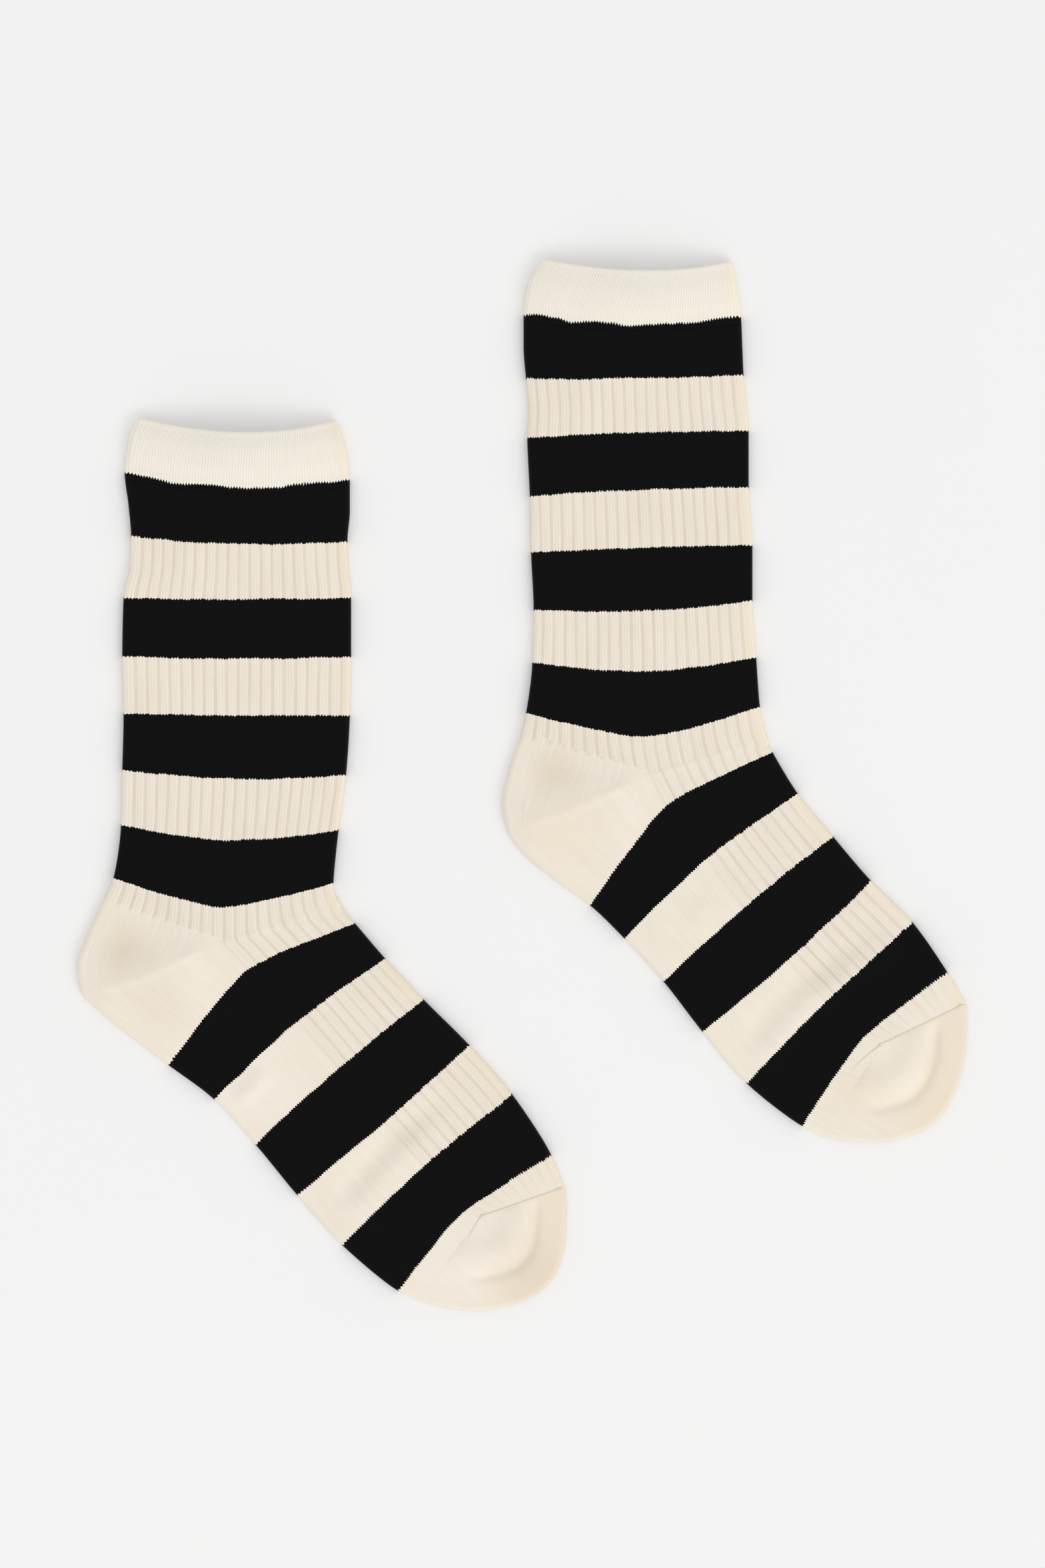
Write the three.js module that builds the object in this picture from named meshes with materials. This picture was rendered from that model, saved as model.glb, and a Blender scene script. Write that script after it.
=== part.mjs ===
// A pair of striped crew socks, knitted and laid flat side by side, in millimetres.
// Each sock is a hollow tube pressed flat: an open cuff, a ribbed leg, a foot with its heel pocket,
// and a closed toe pocket. Both rest on Z = 0, with the legs up +Y and the toes towards +X.
import * as THREE from 'three';

// Cloth
const WALL = 1.4;              // one layer of knit, measured in a groove between ribs
const WELT_WALL = 2.3;         // the cuff is turned in, so its wall is double
const LAYER_GAP = 0.5;         // air between the two layers at the side folds
const SEAM_GAP = 0.3;          // between one piece and the next
const RIM_ROUND = 0.8;         // rounding of the turned edge at the mouth

// Ribs, each of three raised wales beside one sunken wale
const RIBS_PER_FACE = 20;
const RIB_RISE = 0.5;
const GROOVE_HALF = 0.2;       // half a groove's width, in rib pitches
const RIB_FADE = 0.03;         // share of the face over which ribs die out beside the plain sole
const SIDE_MARGIN = 0.03;      // share of the face at each side that the fold takes up

// Toe pocket, in shares of the way out from its middle to its edge and round from sole to seam
const TOE_MOUND = 2.6;
const TOE_MOUND_AT = 0.34;
const TOE_MOUND_SPREAD = 0.26;
const TOE_CREASE = 1.3;
const TOE_CREASE_AT = 0.68;
const TOE_CREASE_SPREAD = 0.1;
const TOE_CREASE_START = 0.15;
const TOE_CREASE_FULL = 0.4;

// Steps of the mesh
const COURSE_STEP = 16;        // farthest that one course of the mesh lies from the next
const FOLD_STEPS = 3;          // points round a side fold
const INSIDE_POINTS = 9;       // points across one face of the plain inside
const UNDER_POINTS = 9;        // points across the flat underside
const CUFF_POINTS = 21;        // points across the upper face of the cuff
const SOLE_POINTS = 9;         // points across the plain half of the foot
const TOE_TURNS = 16;          // steps round the toe
const TOE_POINTS = 10;         // points from the toe's middle out to its edge

// What shapes a course, in order from the mouth to the toe. round is 2 where the course bends evenly
// and 1 where it is bent at its middle. lift is how far the upper layer stands off the lower one in
// the middle of the face, heel how much more it does over the heel. ribs is the share of their full
// height that the ribs have on the back half and on the front half.
const COURSE_FORMS = [
  { at: 'mouth', round: 1.8, lift: 5.6, heel: 0, ribs: [0, 0] },
  { at: 'welt', round: 1.8, lift: 5.4, heel: 0, ribs: [0, 0] },
  { at: 'leg start', round: 1.8, lift: 4.8, heel: 0, ribs: [1, 1] },
  { at: 'band 1', round: 1.9, lift: 3.8, heel: 0, ribs: [1, 1] },
  { at: 'band 1 end', round: 2, lift: 2.8, heel: 0, ribs: [1, 1] },
  { at: 'ribs 1', round: 2, lift: 1.8, heel: 0, ribs: [1, 1] },
  { at: 'band 2', round: 2, lift: 1, heel: 0, ribs: [1, 1] },
  { at: 'band 2 end', round: 2, lift: 0.6, heel: 0, ribs: [1, 1] },
  { at: 'band 3', round: 2, lift: 0.5, heel: 0, ribs: [1, 1] },
  { at: 'band 3 end', round: 2, lift: 0.6, heel: 0, ribs: [1, 1] },
  { at: 'band 4', round: 1.7, lift: 1, heel: 0, ribs: [1, 1] },
  { at: 'band 4 end', round: 1.25, lift: 1.7, heel: 0, ribs: [1, 1] },
  { at: 'heel start', round: 1.1, lift: 2.4, heel: 0, ribs: [1, 1] },
  { at: 'heel upper', round: 1, lift: 2.5, heel: -0.5, ribs: [0, 1] },
  { at: 'heel back', round: 1, lift: 2.6, heel: 0.3, ribs: [0, 1] },
  { at: 'heel fold', round: 1, lift: 2.6, heel: 1.9, ribs: [0, 1] },
  { at: 'heel lower', round: 1, lift: 2.5, heel: 0.9, ribs: [0, 1] },
  { at: 'sole start', round: 1.1, lift: 2.3, heel: 0.2, ribs: [0, 1] },
  { at: 'band 5', round: 1.15, lift: 1.8, heel: 0, ribs: [0, 1] },
  { at: 'band 5 end', round: 1.5, lift: 1.2, heel: 0, ribs: [0, 1] },
  { at: 'band 6', round: 2, lift: 0.9, heel: 0, ribs: [0, 1] },
  { at: 'band 6 end', round: 1.6, lift: 0.9, heel: 0, ribs: [0, 1] },
  { at: 'band 7', round: 1.5, lift: 1.3, heel: 0, ribs: [0, 1] },
  { at: 'band 7 end', round: 1.1, lift: 2, heel: 0, ribs: [0, 0.6] },
  { at: 'toe start', round: 1, lift: 2.4, heel: 0, ribs: [0, 0] },
];

// Where those courses lie on each sock, seen from above. back is the edge on the calf, heel and sole
// side, front the edge on the shin and instep side, and mid is half way between them along the knit.
const LEFT_COURSES = [
  { at: 'mouth', back: [-153.5, 146], mid: [-110.5, 139.5], front: [-73.5, 145] },
  { at: 'welt', back: [-156, 138.5], mid: [-112, 132], front: [-71, 137] },
  { at: 'leg start', back: [-158, 124], mid: [-113, 117.5], front: [-68.5, 121] },
  { at: 'band 1', back: [-156.5, 111], mid: [-113, 106.5], front: [-68.5, 109] },
  { at: 'band 1 end', back: [-155.5, 98.5], mid: [-113, 95.5], front: [-69.5, 96.5] },
  { at: 'ribs 1', back: [-156, 86.5], mid: [-112.5, 85.5], front: [-69, 85.5] },
  { at: 'band 2', back: [-158.5, 74], mid: [-113.5, 73.5], front: [-68, 74] },
  { at: 'band 2 end', back: [-159, 51], mid: [-113.5, 50], front: [-68, 51] },
  { at: 'band 3', back: [-158.5, 28], mid: [-113.5, 27.5], front: [-68.5, 27.5] },
  { at: 'band 3 end', back: [-159, 6], mid: [-114.5, 2.5], front: [-70, 4] },
  { at: 'band 4', back: [-159.5, -16], mid: [-116, -22], front: [-73, -18] },
  { at: 'band 4 end', back: [-162.5, -37], mid: [-119, -48.5], front: [-75, -39] },
  { at: 'heel start', back: [-165, -43], mid: [-119, -61], front: [-73.5, -45] },
  { at: 'heel upper', back: [-173.5, -61.5], mid: [-119, -62], front: [-72.5, -46.5] },
  { at: 'heel back', back: [-177, -72], mid: [-118.5, -62.5], front: [-72, -47.5] },
  { at: 'heel fold', back: [-175.5, -82], mid: [-118.5, -63], front: [-72, -48] },
  { at: 'heel lower', back: [-168, -90], mid: [-118, -64], front: [-71.5, -49] },
  { at: 'sole start', back: [-153, -102], mid: [-116.5, -65.5], front: [-70.5, -50.5] },
  { at: 'band 5', back: [-140.5, -111.5], mid: [-109, -73.5], front: [-66.5, -55] },
  { at: 'band 5 end', back: [-122.5, -125], mid: [-89.5, -94], front: [-54.5, -69] },
  { at: 'band 6', back: [-106, -143], mid: [-73.5, -113], front: [-39, -85.5] },
  { at: 'band 6 end', back: [-89.5, -163], mid: [-55, -134], front: [-21, -103.5] },
  { at: 'band 7', back: [-71.5, -183], mid: [-39.5, -151.5], front: [-4, -123] },
  { at: 'band 7 end', back: [-49.5, -201], mid: [-23.5, -169.5], front: [11.5, -147] },
  { at: 'toe start', back: [-42, -204.5], mid: [-16.5, -171], front: [17, -160] },
];
const RIGHT_COURSES = [
  { at: 'mouth', back: [7, 209], mid: [48, 203.5], front: [83.5, 208] },
  { at: 'welt', back: [2.5, 199.5], mid: [46, 193.5], front: [85, 199] },
  { at: 'leg start', back: [0.5, 186.5], mid: [44, 182], front: [87, 185.5] },
  { at: 'band 1', back: [0.5, 174], mid: [44.5, 171.5], front: [87.5, 174] },
  { at: 'band 1 end', back: [1.5, 161], mid: [44.5, 161], front: [88, 162.5] },
  { at: 'ribs 1', back: [2.5, 149], mid: [45.5, 149.5], front: [89, 151] },
  { at: 'band 2', back: [2, 137.5], mid: [46, 139.5], front: [90, 140] },
  { at: 'band 2 end', back: [3, 114.5], mid: [46.5, 117], front: [90, 118] },
  { at: 'band 3', back: [3.5, 92], mid: [47.5, 94], front: [91.5, 95] },
  { at: 'band 3 end', back: [4.5, 69.5], mid: [48, 69], front: [91.5, 73] },
  { at: 'band 4', back: [4, 48.5], mid: [48.5, 45], front: [93, 50.5] },
  { at: 'band 4 end', back: [1.5, 28.5], mid: [48.5, 19], front: [94.5, 31] },
  { at: 'heel start', back: [0, 21.5], mid: [50.5, 5.5], front: [96.5, 21.5] },
  { at: 'heel upper', back: [-5, 6.5], mid: [50.5, 4.5], front: [97, 20] },
  { at: 'heel back', back: [-8, -8], mid: [51, 4], front: [97.5, 19] },
  { at: 'heel fold', back: [-6, -18], mid: [51.5, 3.5], front: [97.5, 18.5] },
  { at: 'heel lower', back: [0, -27], mid: [51.5, 3], front: [98, 17.5] },
  { at: 'sole start', back: [14.5, -39], mid: [52.5, 1.5], front: [98, 16] },
  { at: 'band 5', back: [27, -48], mid: [57.5, -8], front: [99.5, 13] },
  { at: 'band 5 end', back: [40.5, -61], mid: [73.5, -29], front: [109.5, -3.5] },
  { at: 'band 6', back: [56, -78], mid: [88.5, -48.5], front: [123.5, -20.5] },
  { at: 'band 6 end', back: [71.5, -98], mid: [106, -69], front: [138.5, -38] },
  { at: 'band 7', back: [89, -118.5], mid: [121, -85.5], front: [155, -54.5] },
  { at: 'band 7 end', back: [111, -135.5], mid: [135, -100.5], front: [169, -74.5] },
  { at: 'toe start', back: [119, -139.5], mid: [142, -103], front: [176.5, -87] },
];

// The toe's edge, from where the sole ends round to the front end of the toe seam
const LEFT_TOE_EDGE = [
  [-42, -204.5], [-30.5, -207.5], [-18.5, -209], [-6.5, -207], [4.5, -203],
  [13, -194.5], [16.5, -184], [17.5, -171.5], [17, -160],
];
const RIGHT_TOE_EDGE = [
  [119, -139.5], [129.5, -141.5], [142, -142], [153.5, -139.5], [163.5, -134.5],
  [171, -124], [175, -112.5], [176.5, -100], [176.5, -87],
];

const SOCKS = [
  { side: 'left', courses: LEFT_COURSES, toeEdge: LEFT_TOE_EDGE },
  { side: 'right', courses: RIGHT_COURSES, toeEdge: RIGHT_TOE_EDGE },
];

const FINISHES = {
  cuff: { color: 0xf1e6d6, roughness: 0.95, metalness: 0 },
  leg: { color: 0xf3ebdf, roughness: 0.95, metalness: 0 },
  foot: { color: 0xf3ebdf, roughness: 0.95, metalness: 0 },
  toe: { color: 0xf1e5d4, roughness: 0.95, metalness: 0 },
};

// A value at any place between evenly numbered knots, never beyond the two knots beside it
function through(knots, at) {
  const last = knots.length - 1;
  const slope = (k) => {
    if (k === 0) return knots[1] - knots[0];
    if (k === last) return knots[last] - knots[last - 1];
    const before = knots[k] - knots[k - 1];
    const after = knots[k + 1] - knots[k];
    return before * after <= 0 ? 0 : (2 * before * after) / (before + after);
  };
  const k = Math.min(Math.floor(at), last - 1);
  const f = at - k;
  const g = 1 - f;
  return g * g * (1 + 2 * f) * knots[k] + f * g * g * slope(k)
    + f * f * (1 + 2 * g) * knots[k + 1] - f * f * g * slope(k + 1);
}

function pointThrough(points, at) {
  return new THREE.Vector2(through(points.map((p) => p[0]), at), through(points.map((p) => p[1]), at));
}

function evenly(count, from, to) {
  return Array.from({ length: count }, (_, k) => from + ((to - from) * k) / (count - 1));
}

function bell(value, centre, spread) {
  return Math.exp(-(((value - centre) / spread) ** 2));
}

// A course at any place between the rows of a sock's table
function courseAt(rows, at) {
  const form = (pick) => through(COURSE_FORMS.map(pick), at);
  return {
    back: pointThrough(rows.map((row) => row.back), at),
    mid: pointThrough(rows.map((row) => row.mid), at),
    front: pointThrough(rows.map((row) => row.front), at),
    round: form((row) => row.round),
    lift: form((row) => row.lift),
    heel: form((row) => row.heel),
    ribs: [form((row) => row.ribs[0]), form((row) => row.ribs[1])],
  };
}

// The places of a mesh's courses between two named rows, no farther apart than COURSE_STEP
function coursePlaces(rows, fromName, toName) {
  const row = (name) => rows.findIndex((r) => r.at === name);
  const places = [row(fromName)];
  for (let k = row(fromName); k < row(toName); k += 1) {
    const moved = ['back', 'mid', 'front'].map((edge) => (
      Math.hypot(rows[k + 1][edge][0] - rows[k][edge][0], rows[k + 1][edge][1] - rows[k][edge][1])
    ));
    const steps = Math.ceil(Math.max(...moved) / COURSE_STEP);
    for (let s = 1; s <= steps; s += 1) places.push(k + s / steps);
  }
  return places;
}

// The point of a course seen from above, with t running from 0 at the back to 1 at the front
function planPoint(course, t) {
  const inBack = t < 0.5;
  const from = inBack ? course.back : course.mid;
  const to = inBack ? course.mid : course.front;
  const f = inBack ? 2 * t : 2 * t - 1;
  const bow = course.mid.clone().sub(course.back.clone().lerp(course.front, 0.5));
  return from.clone().lerp(to, f).addScaledVector(bow, (course.round - 1) * f * (1 - f));
}

// The same point moved along the sock towards the toe, square to the course
function shiftedPoint(course, t, shift) {
  const reach = 0.02;
  const along = planPoint(course, Math.min(t + reach, 1)).sub(planPoint(course, Math.max(t - reach, 0)));
  const forward = new THREE.Vector2(along.y, -along.x).normalize();
  return planPoint(course, t).addScaledVector(forward, shift);
}

// Height of the ribs over their grooves
function ribHeight(course, t) {
  const phase = t * RIBS_PER_FACE;
  const profile = Math.min(Math.abs(phase - Math.round(phase)) / GROOVE_HALF, 1);
  const inFront = THREE.MathUtils.smoothstep(t, 0.5 - RIB_FADE, 0.5 + RIB_FADE);
  return RIB_RISE * profile * THREE.MathUtils.lerp(course.ribs[0], course.ribs[1], inFront);
}

// How far the upper layer stands off the lower one, beyond the gap at the side folds
function liftHeight(course, t) {
  const overHeel = t < 0.5 ? course.heel * Math.sin(2 * Math.PI * t) : 0;
  return course.lift * Math.sin(Math.PI * t) + overHeel;
}

// Places across a face where a rib has its two shoulders and its groove
function ribColumns(from, to) {
  const grooves = evenly(RIBS_PER_FACE - 1, 1, RIBS_PER_FACE - 1);
  const columns = grooves.flatMap((middle) => [-GROOVE_HALF, 0, GROOVE_HALF].map((side) => middle + side));
  return columns.map((column) => column / RIBS_PER_FACE).filter((t) => t > from && t < to);
}

// Points round a side fold of a given height, from its upper end to its lower one
function foldPoints(root, edge, height) {
  return evenly(FOLD_STEPS + 2, 0, Math.PI).slice(1, -1).map((angle) => {
    const plan = root.clone().lerp(edge, Math.sin(angle));
    return new THREE.Vector3(plan.x, plan.y, (height / 2) * (1 + Math.cos(angle)));
  });
}

function raised(plan, z) {
  return new THREE.Vector3(plan.x, plan.y, z);
}

// One loop round the outside and one round the inside of a flattened tube. The outside runs over the
// upper face to the front fold, back along the flat underside and round the back fold.
function tubeLoops(course, columns, wall, shift, trim = 0) {
  const sideHeight = 2 * wall + LAYER_GAP;
  const inset = sideHeight / 2 / course.back.distanceTo(course.front);
  const plan = (t) => shiftedPoint(course, t, shift);
  const upper = [inset, ...columns, 1 - inset];
  const under = evenly(UNDER_POINTS, 1 - inset, inset);
  const foldHeight = sideHeight - 2 * trim;
  const foldEdge = (end, root) => plan(end).lerp(plan(root), (2 * trim) / sideHeight);
  const lowered = (points) => points.map((p) => p.setZ(p.z + trim));
  const outer = [
    ...upper.map((t) => raised(plan(t), sideHeight + liftHeight(course, t) + ribHeight(course, t) - trim)),
    ...lowered(foldPoints(plan(1 - inset), foldEdge(1, 1 - inset), foldHeight)),
    ...under.map((t) => raised(plan(t), trim)),
    ...lowered(foldPoints(plan(inset), foldEdge(0, inset), foldHeight)).reverse(),
  ];
  const across = evenly(INSIDE_POINTS, inset, 1 - inset);
  const inner = [
    ...across.map((t) => raised(plan(t), sideHeight - wall + liftHeight(course, t))),
    ...across.reverse().map((t) => raised(plan(t), wall)),
  ];
  return { outer, inner };
}

// A closed surface built up from rows of points
class Shell {
  constructor() {
    this.points = [];
    this.faces = [];
  }

  add(points) {
    const first = this.points.length;
    this.points.push(...points);
    return points.map((_, k) => first + k);
  }

  face(a, b, c) {
    if (a !== b && b !== c && c !== a) this.faces.push([a, b, c]);
  }

  // Faces between two rows with as many points each
  band(a, b, closed) {
    const last = closed ? a.length : a.length - 1;
    for (let k = 0; k < last; k += 1) {
      const next = (k + 1) % a.length;
      this.face(a[k], b[k], b[next]);
      this.face(a[k], b[next], a[next]);
    }
  }

  // Faces between two closed loops of different counts, always across the shorter diagonal
  zip(a, b) {
    const gap = (p, q) => this.points[p].distanceTo(this.points[q]);
    let i = 0;
    let j = 0;
    while (i < a.length || j < b.length) {
      const [fromA, nextA] = [a[i % a.length], a[(i + 1) % a.length]];
      const [fromB, nextB] = [b[j % b.length], b[(j + 1) % b.length]];
      if (j >= b.length || (i < a.length && gap(nextA, fromB) <= gap(nextB, fromA))) {
        this.face(fromA, nextA, fromB);
        i += 1;
      } else {
        this.face(fromA, nextB, fromB);
        j += 1;
      }
    }
  }

  geometry() {
    const geometry = new THREE.BufferGeometry().setFromPoints(this.points);
    geometry.setIndex(this.faces.flat());
    geometry.computeVertexNormals();
    return geometry;
  }
}

// A length of flattened tube, open at both ends
function tubeGeometry(loops) {
  const shell = new Shell();
  const outer = loops.map((loop) => shell.add(loop.outer));
  const inner = loops.map((loop) => shell.add(loop.inner));
  for (let k = 0; k + 1 < loops.length; k += 1) {
    shell.band(outer[k], outer[k + 1], true);
    shell.band(inner[k + 1], inner[k], true);
  }
  shell.zip(outer[0], inner[0]);
  shell.zip(inner[loops.length - 1], outer[loops.length - 1]);
  return shell.geometry();
}

// Half a gap off a piece's own end courses, so that it stands clear of the pieces before and after it
function endShift(index, count) {
  if (index === 0) return SEAM_GAP / 2;
  return index === count - 1 ? -SEAM_GAP / 2 : 0;
}

function cuffGeometry(rows) {
  const columns = evenly(CUFF_POINTS, SIDE_MARGIN * 2, 1 - SIDE_MARGIN * 2);
  const places = coursePlaces(rows, 'mouth', 'leg start');
  const loops = places.map((at, k) => (
    tubeLoops(courseAt(rows, at), columns, WELT_WALL, k === 0 ? RIM_ROUND : endShift(k, places.length))
  ));
  loops.unshift(tubeLoops(courseAt(rows, 0), columns, WELT_WALL, 0, RIM_ROUND / 2));
  return tubeGeometry(loops);
}

function legGeometry(rows) {
  const columns = ribColumns(SIDE_MARGIN, 1 - SIDE_MARGIN);
  const places = coursePlaces(rows, 'leg start', 'heel start');
  return tubeGeometry(places.map((at, k) => (
    tubeLoops(courseAt(rows, at), columns, WALL, endShift(k, places.length))
  )));
}

// The foot's back half is the heel and then the plain sole, its front half the ribbed instep. The toe
// keeps the whole gap to it, so its last course stays where it is.
function footGeometry(rows) {
  const sole = evenly(SOLE_POINTS, SIDE_MARGIN * 2, 0.5 - RIB_FADE);
  const columns = [...sole, ...ribColumns(0.5 - RIB_FADE, 1 - SIDE_MARGIN)];
  const places = coursePlaces(rows, 'heel start', 'toe start');
  return tubeGeometry(places.map((at, k) => (
    tubeLoops(courseAt(rows, at), columns, WALL, k === 0 ? SEAM_GAP / 2 : 0)
  )));
}

// Extra height of the toe's upper face: a mound, then a soft crease inside a lower rim
function toeRelief(out, round) {
  const mound = TOE_MOUND * bell(out, TOE_MOUND_AT, TOE_MOUND_SPREAD) * Math.sin(Math.PI * round);
  const creaseShare = THREE.MathUtils.smoothstep(round, TOE_CREASE_START, TOE_CREASE_FULL)
    * (1 - THREE.MathUtils.smoothstep(round, 1 - TOE_CREASE_START, 1));
  return mound - TOE_CREASE * creaseShare * bell(out, TOE_CREASE_AT, TOE_CREASE_SPREAD);
}

// The toe pocket turns round its middle from the end of the sole to the toe seam. Every half course
// runs out over the upper face, round the edge and back to the middle on the underside.
function toeGeometry(rows, toeEdge) {
  const start = courseAt(rows, rows.length - 1);
  const sideHeight = 2 * WALL + LAYER_GAP;
  const toSole = start.back.clone().sub(start.mid).normalize();
  const toSeam = start.front.clone().sub(start.mid).normalize();
  const halfAngle = Math.acos(-toSole.dot(toSeam)) / 2;
  const away = toSole.add(toSeam).normalize().multiplyScalar(SEAM_GAP / Math.cos(halfAngle));
  const middle = start.mid.clone().add(away);
  const lift = (out) => start.lift * Math.cos((Math.PI / 2) * out);

  const shell = new Shell();
  const [outTop, outBottom, inTop, inBottom] = shell.add([
    raised(middle, sideHeight + start.lift),
    raised(middle, 0),
    raised(middle, sideHeight - WALL + start.lift),
    raised(middle, WALL),
  ]);
  const outer = [];
  const inner = [];
  for (const round of evenly(TOE_TURNS + 1, 0, 1)) {
    const edge = pointThrough(toeEdge, round * (toeEdge.length - 1)).add(away);
    const limit = 1 - sideHeight / 2 / edge.distanceTo(middle);
    const plan = (out) => middle.clone().lerp(edge, out);
    const height = (out) => sideHeight + lift(out) + toeRelief(out, round);
    const outs = evenly(TOE_POINTS + 1, 0, limit).slice(1);
    const upper = outs.map((out) => raised(plan(out), height(out)));
    const under = outs.map((out) => raised(plan(out), 0)).reverse();
    const fold = foldPoints(plan(limit), edge, sideHeight);
    outer.push([outTop, ...shell.add([...upper, ...fold, ...under]), outBottom]);
    const ceiling = outs.map((out) => raised(plan(out), height(out) - WALL));
    const floor = outs.map((out) => raised(plan(out), WALL)).reverse();
    inner.push([inTop, ...shell.add([...ceiling, ...floor]), inBottom]);
  }
  for (let k = 0; k < TOE_TURNS; k += 1) {
    shell.band(outer[k + 1], outer[k], false);
    shell.band(inner[k], inner[k + 1], false);
  }
  const rim = (lines) => [...lines[0].slice(0, -1), ...lines[TOE_TURNS].slice(1).reverse()];
  shell.zip(rim(inner), rim(outer));
  return shell.geometry();
}

function piece(name, geometry, finish) {
  const mesh = new THREE.Mesh(geometry, new THREE.MeshStandardMaterial(finish));
  mesh.name = name;
  return mesh;
}

function buildSock({ side, courses, toeEdge }) {
  const sock = new THREE.Group();
  sock.add(piece(`${side}_cuff`, cuffGeometry(courses), FINISHES.cuff));
  sock.add(piece(`${side}_leg`, legGeometry(courses), FINISHES.leg));
  sock.add(piece(`${side}_foot`, footGeometry(courses), FINISHES.foot));
  sock.add(piece(`${side}_toe`, toeGeometry(courses, toeEdge), FINISHES.toe));
  return sock;
}

const pair = new THREE.Group();
for (const sock of SOCKS) pair.add(buildSock(sock));

// The origin is the middle of the pair's outline, on the surface that it lies on
const outline = new THREE.Box3().setFromObject(pair, true);
const centre = outline.getCenter(new THREE.Vector3());
pair.position.set(-centre.x, -centre.y, 0);

export default pair;
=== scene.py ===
"""A pair of striped crew socks laid flat side by side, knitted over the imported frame.

Places are in millimetres in the tables and in metres in the meshes. A place along a sock is
a row number of its table, and a place round it is a wale number, 80 to a face: 0 is the back
fold, 80 the front one, and from there to 160 the wales run back along the underside.
"""
import logging
import math
from dataclasses import dataclass, field
from enum import Enum
from typing import Any, Iterable, Sequence

import bpy
import numpy as np
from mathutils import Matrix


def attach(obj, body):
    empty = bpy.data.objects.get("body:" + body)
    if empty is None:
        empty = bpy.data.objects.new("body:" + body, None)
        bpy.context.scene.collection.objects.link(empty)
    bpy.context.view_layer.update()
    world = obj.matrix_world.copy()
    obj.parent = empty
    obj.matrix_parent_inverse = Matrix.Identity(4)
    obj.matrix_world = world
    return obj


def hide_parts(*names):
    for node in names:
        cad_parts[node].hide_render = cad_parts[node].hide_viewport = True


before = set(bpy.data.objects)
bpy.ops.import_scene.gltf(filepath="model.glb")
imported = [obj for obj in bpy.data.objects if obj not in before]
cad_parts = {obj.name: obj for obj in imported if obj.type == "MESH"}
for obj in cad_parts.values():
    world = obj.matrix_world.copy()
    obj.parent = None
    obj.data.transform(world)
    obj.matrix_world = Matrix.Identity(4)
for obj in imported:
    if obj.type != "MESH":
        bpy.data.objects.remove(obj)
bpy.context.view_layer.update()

MM = 0.001
WALES = 80.0                  # to one face of a flat sock
RIB_WALES = 4.0               # three raised wales and a sunken one
COURSE_PITCH = 0.82           # from one knitted course to the next
WALL = 1.4
WELT_WALL = 2.3
SIDE_HEIGHT = 3.3             # of the two layers at a side fold
WELT_SIDE_HEIGHT = 4.8
CORNER_HEIGHT = 3.2           # of the side folds at the mouth
CUFF_END_HEIGHT = 3.6         # where the cuff narrows to the leg
RIB_RISE = 0.5
GROOVE_REACH = 0.8            # half a groove's width, in wales
BLACK_RELIEF = 0.4            # share of the ribs' height that is left in the black bands
UNDER_GROOVE = 0.35
HEEL_RISE = 0.35              # share of the heel's extra height that isn't in its creases
FOLD_REST = 0.2               # height of a side fold's edge, as a share of the fold's
BAND_BEND = 0.14              # half a face's share over which a bent band's edge turns
CUFF_OVERLAP = 2.2            # how far the cuff's knit runs on over the leg
TUCK = 0.2                    # how far the leg draws in under the cuff
FOLD_WALES = (0.4, 0.8, 1.2, 1.6)   # where a mesh has columns beside a side fold's edge
SWAY = (0.1, 0.05)            # of the ribs, its slow and its quick part, in mm
CALM = 0.06                   # share of a face beside its folds where they don't sway
PEACH_START = 14.0            # mm beyond the last black band where the toe's warmer tone starts
PEACH_FULL = 60.0             # and where it is full

Point = tuple[float, float]
Array = np.ndarray


class Side(Enum):
    """Which sock of the pair."""

    LEFT = "left"
    RIGHT = "right"


class Yarn(Enum):
    """The yarns, each with its own colour as the shader sees it; some of the colours also serve as
    painted shade.
    """

    CREAM = (0.90, 0.823, 0.708)
    WELT = (0.935, 0.88, 0.785)
    LIGHT = (0.96, 0.91, 0.82)
    TAN = (0.70, 0.585, 0.43)
    # Painted warm shade along the front fold, where the knit rounds away.
    WARM_FOLD_SHADE = (0.955, 0.815, 0.61)
    PEACH = (0.86, 0.735, 0.575)
    BLACK = (0.0036, 0.0036, 0.0038)
    LINKING = (0.88, 0.79, 0.67)


@dataclass(frozen=True)
class ToneAndShadeSpot:
    """A soft patch of slightly other tone. The darker patches are painted shade on the heels'
    slopes and by the toes' creases and rims; the lighter ones whiten the cream.

    Attributes:
        at: its middle, seen from above, in mm.
        reach: how far from its middle it has died out, in mm.
        share: how much of the other tone its middle has.
        yarn: the other tone.
    """

    at: Point
    reach: float
    share: float
    yarn: Yarn


@dataclass(frozen=True)
class CourseForm:
    """What shapes a course, the same on both socks.

    round is 2 where the course bends evenly and 1 where it bends at its middle, lift how far
    the upper layer stands off, heel how much more it does over the heel, and the ribs are
    shares of their full height on the back half and on the front half.
    """

    name: str
    round: float
    lift: float
    heel: float
    back_ribs: float
    front_ribs: float


@dataclass(frozen=True)
class CourseRow:
    """Where one course of a sock lies: its back edge, its middle and its front edge."""

    back: Point
    mid: Point
    front: Point


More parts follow.
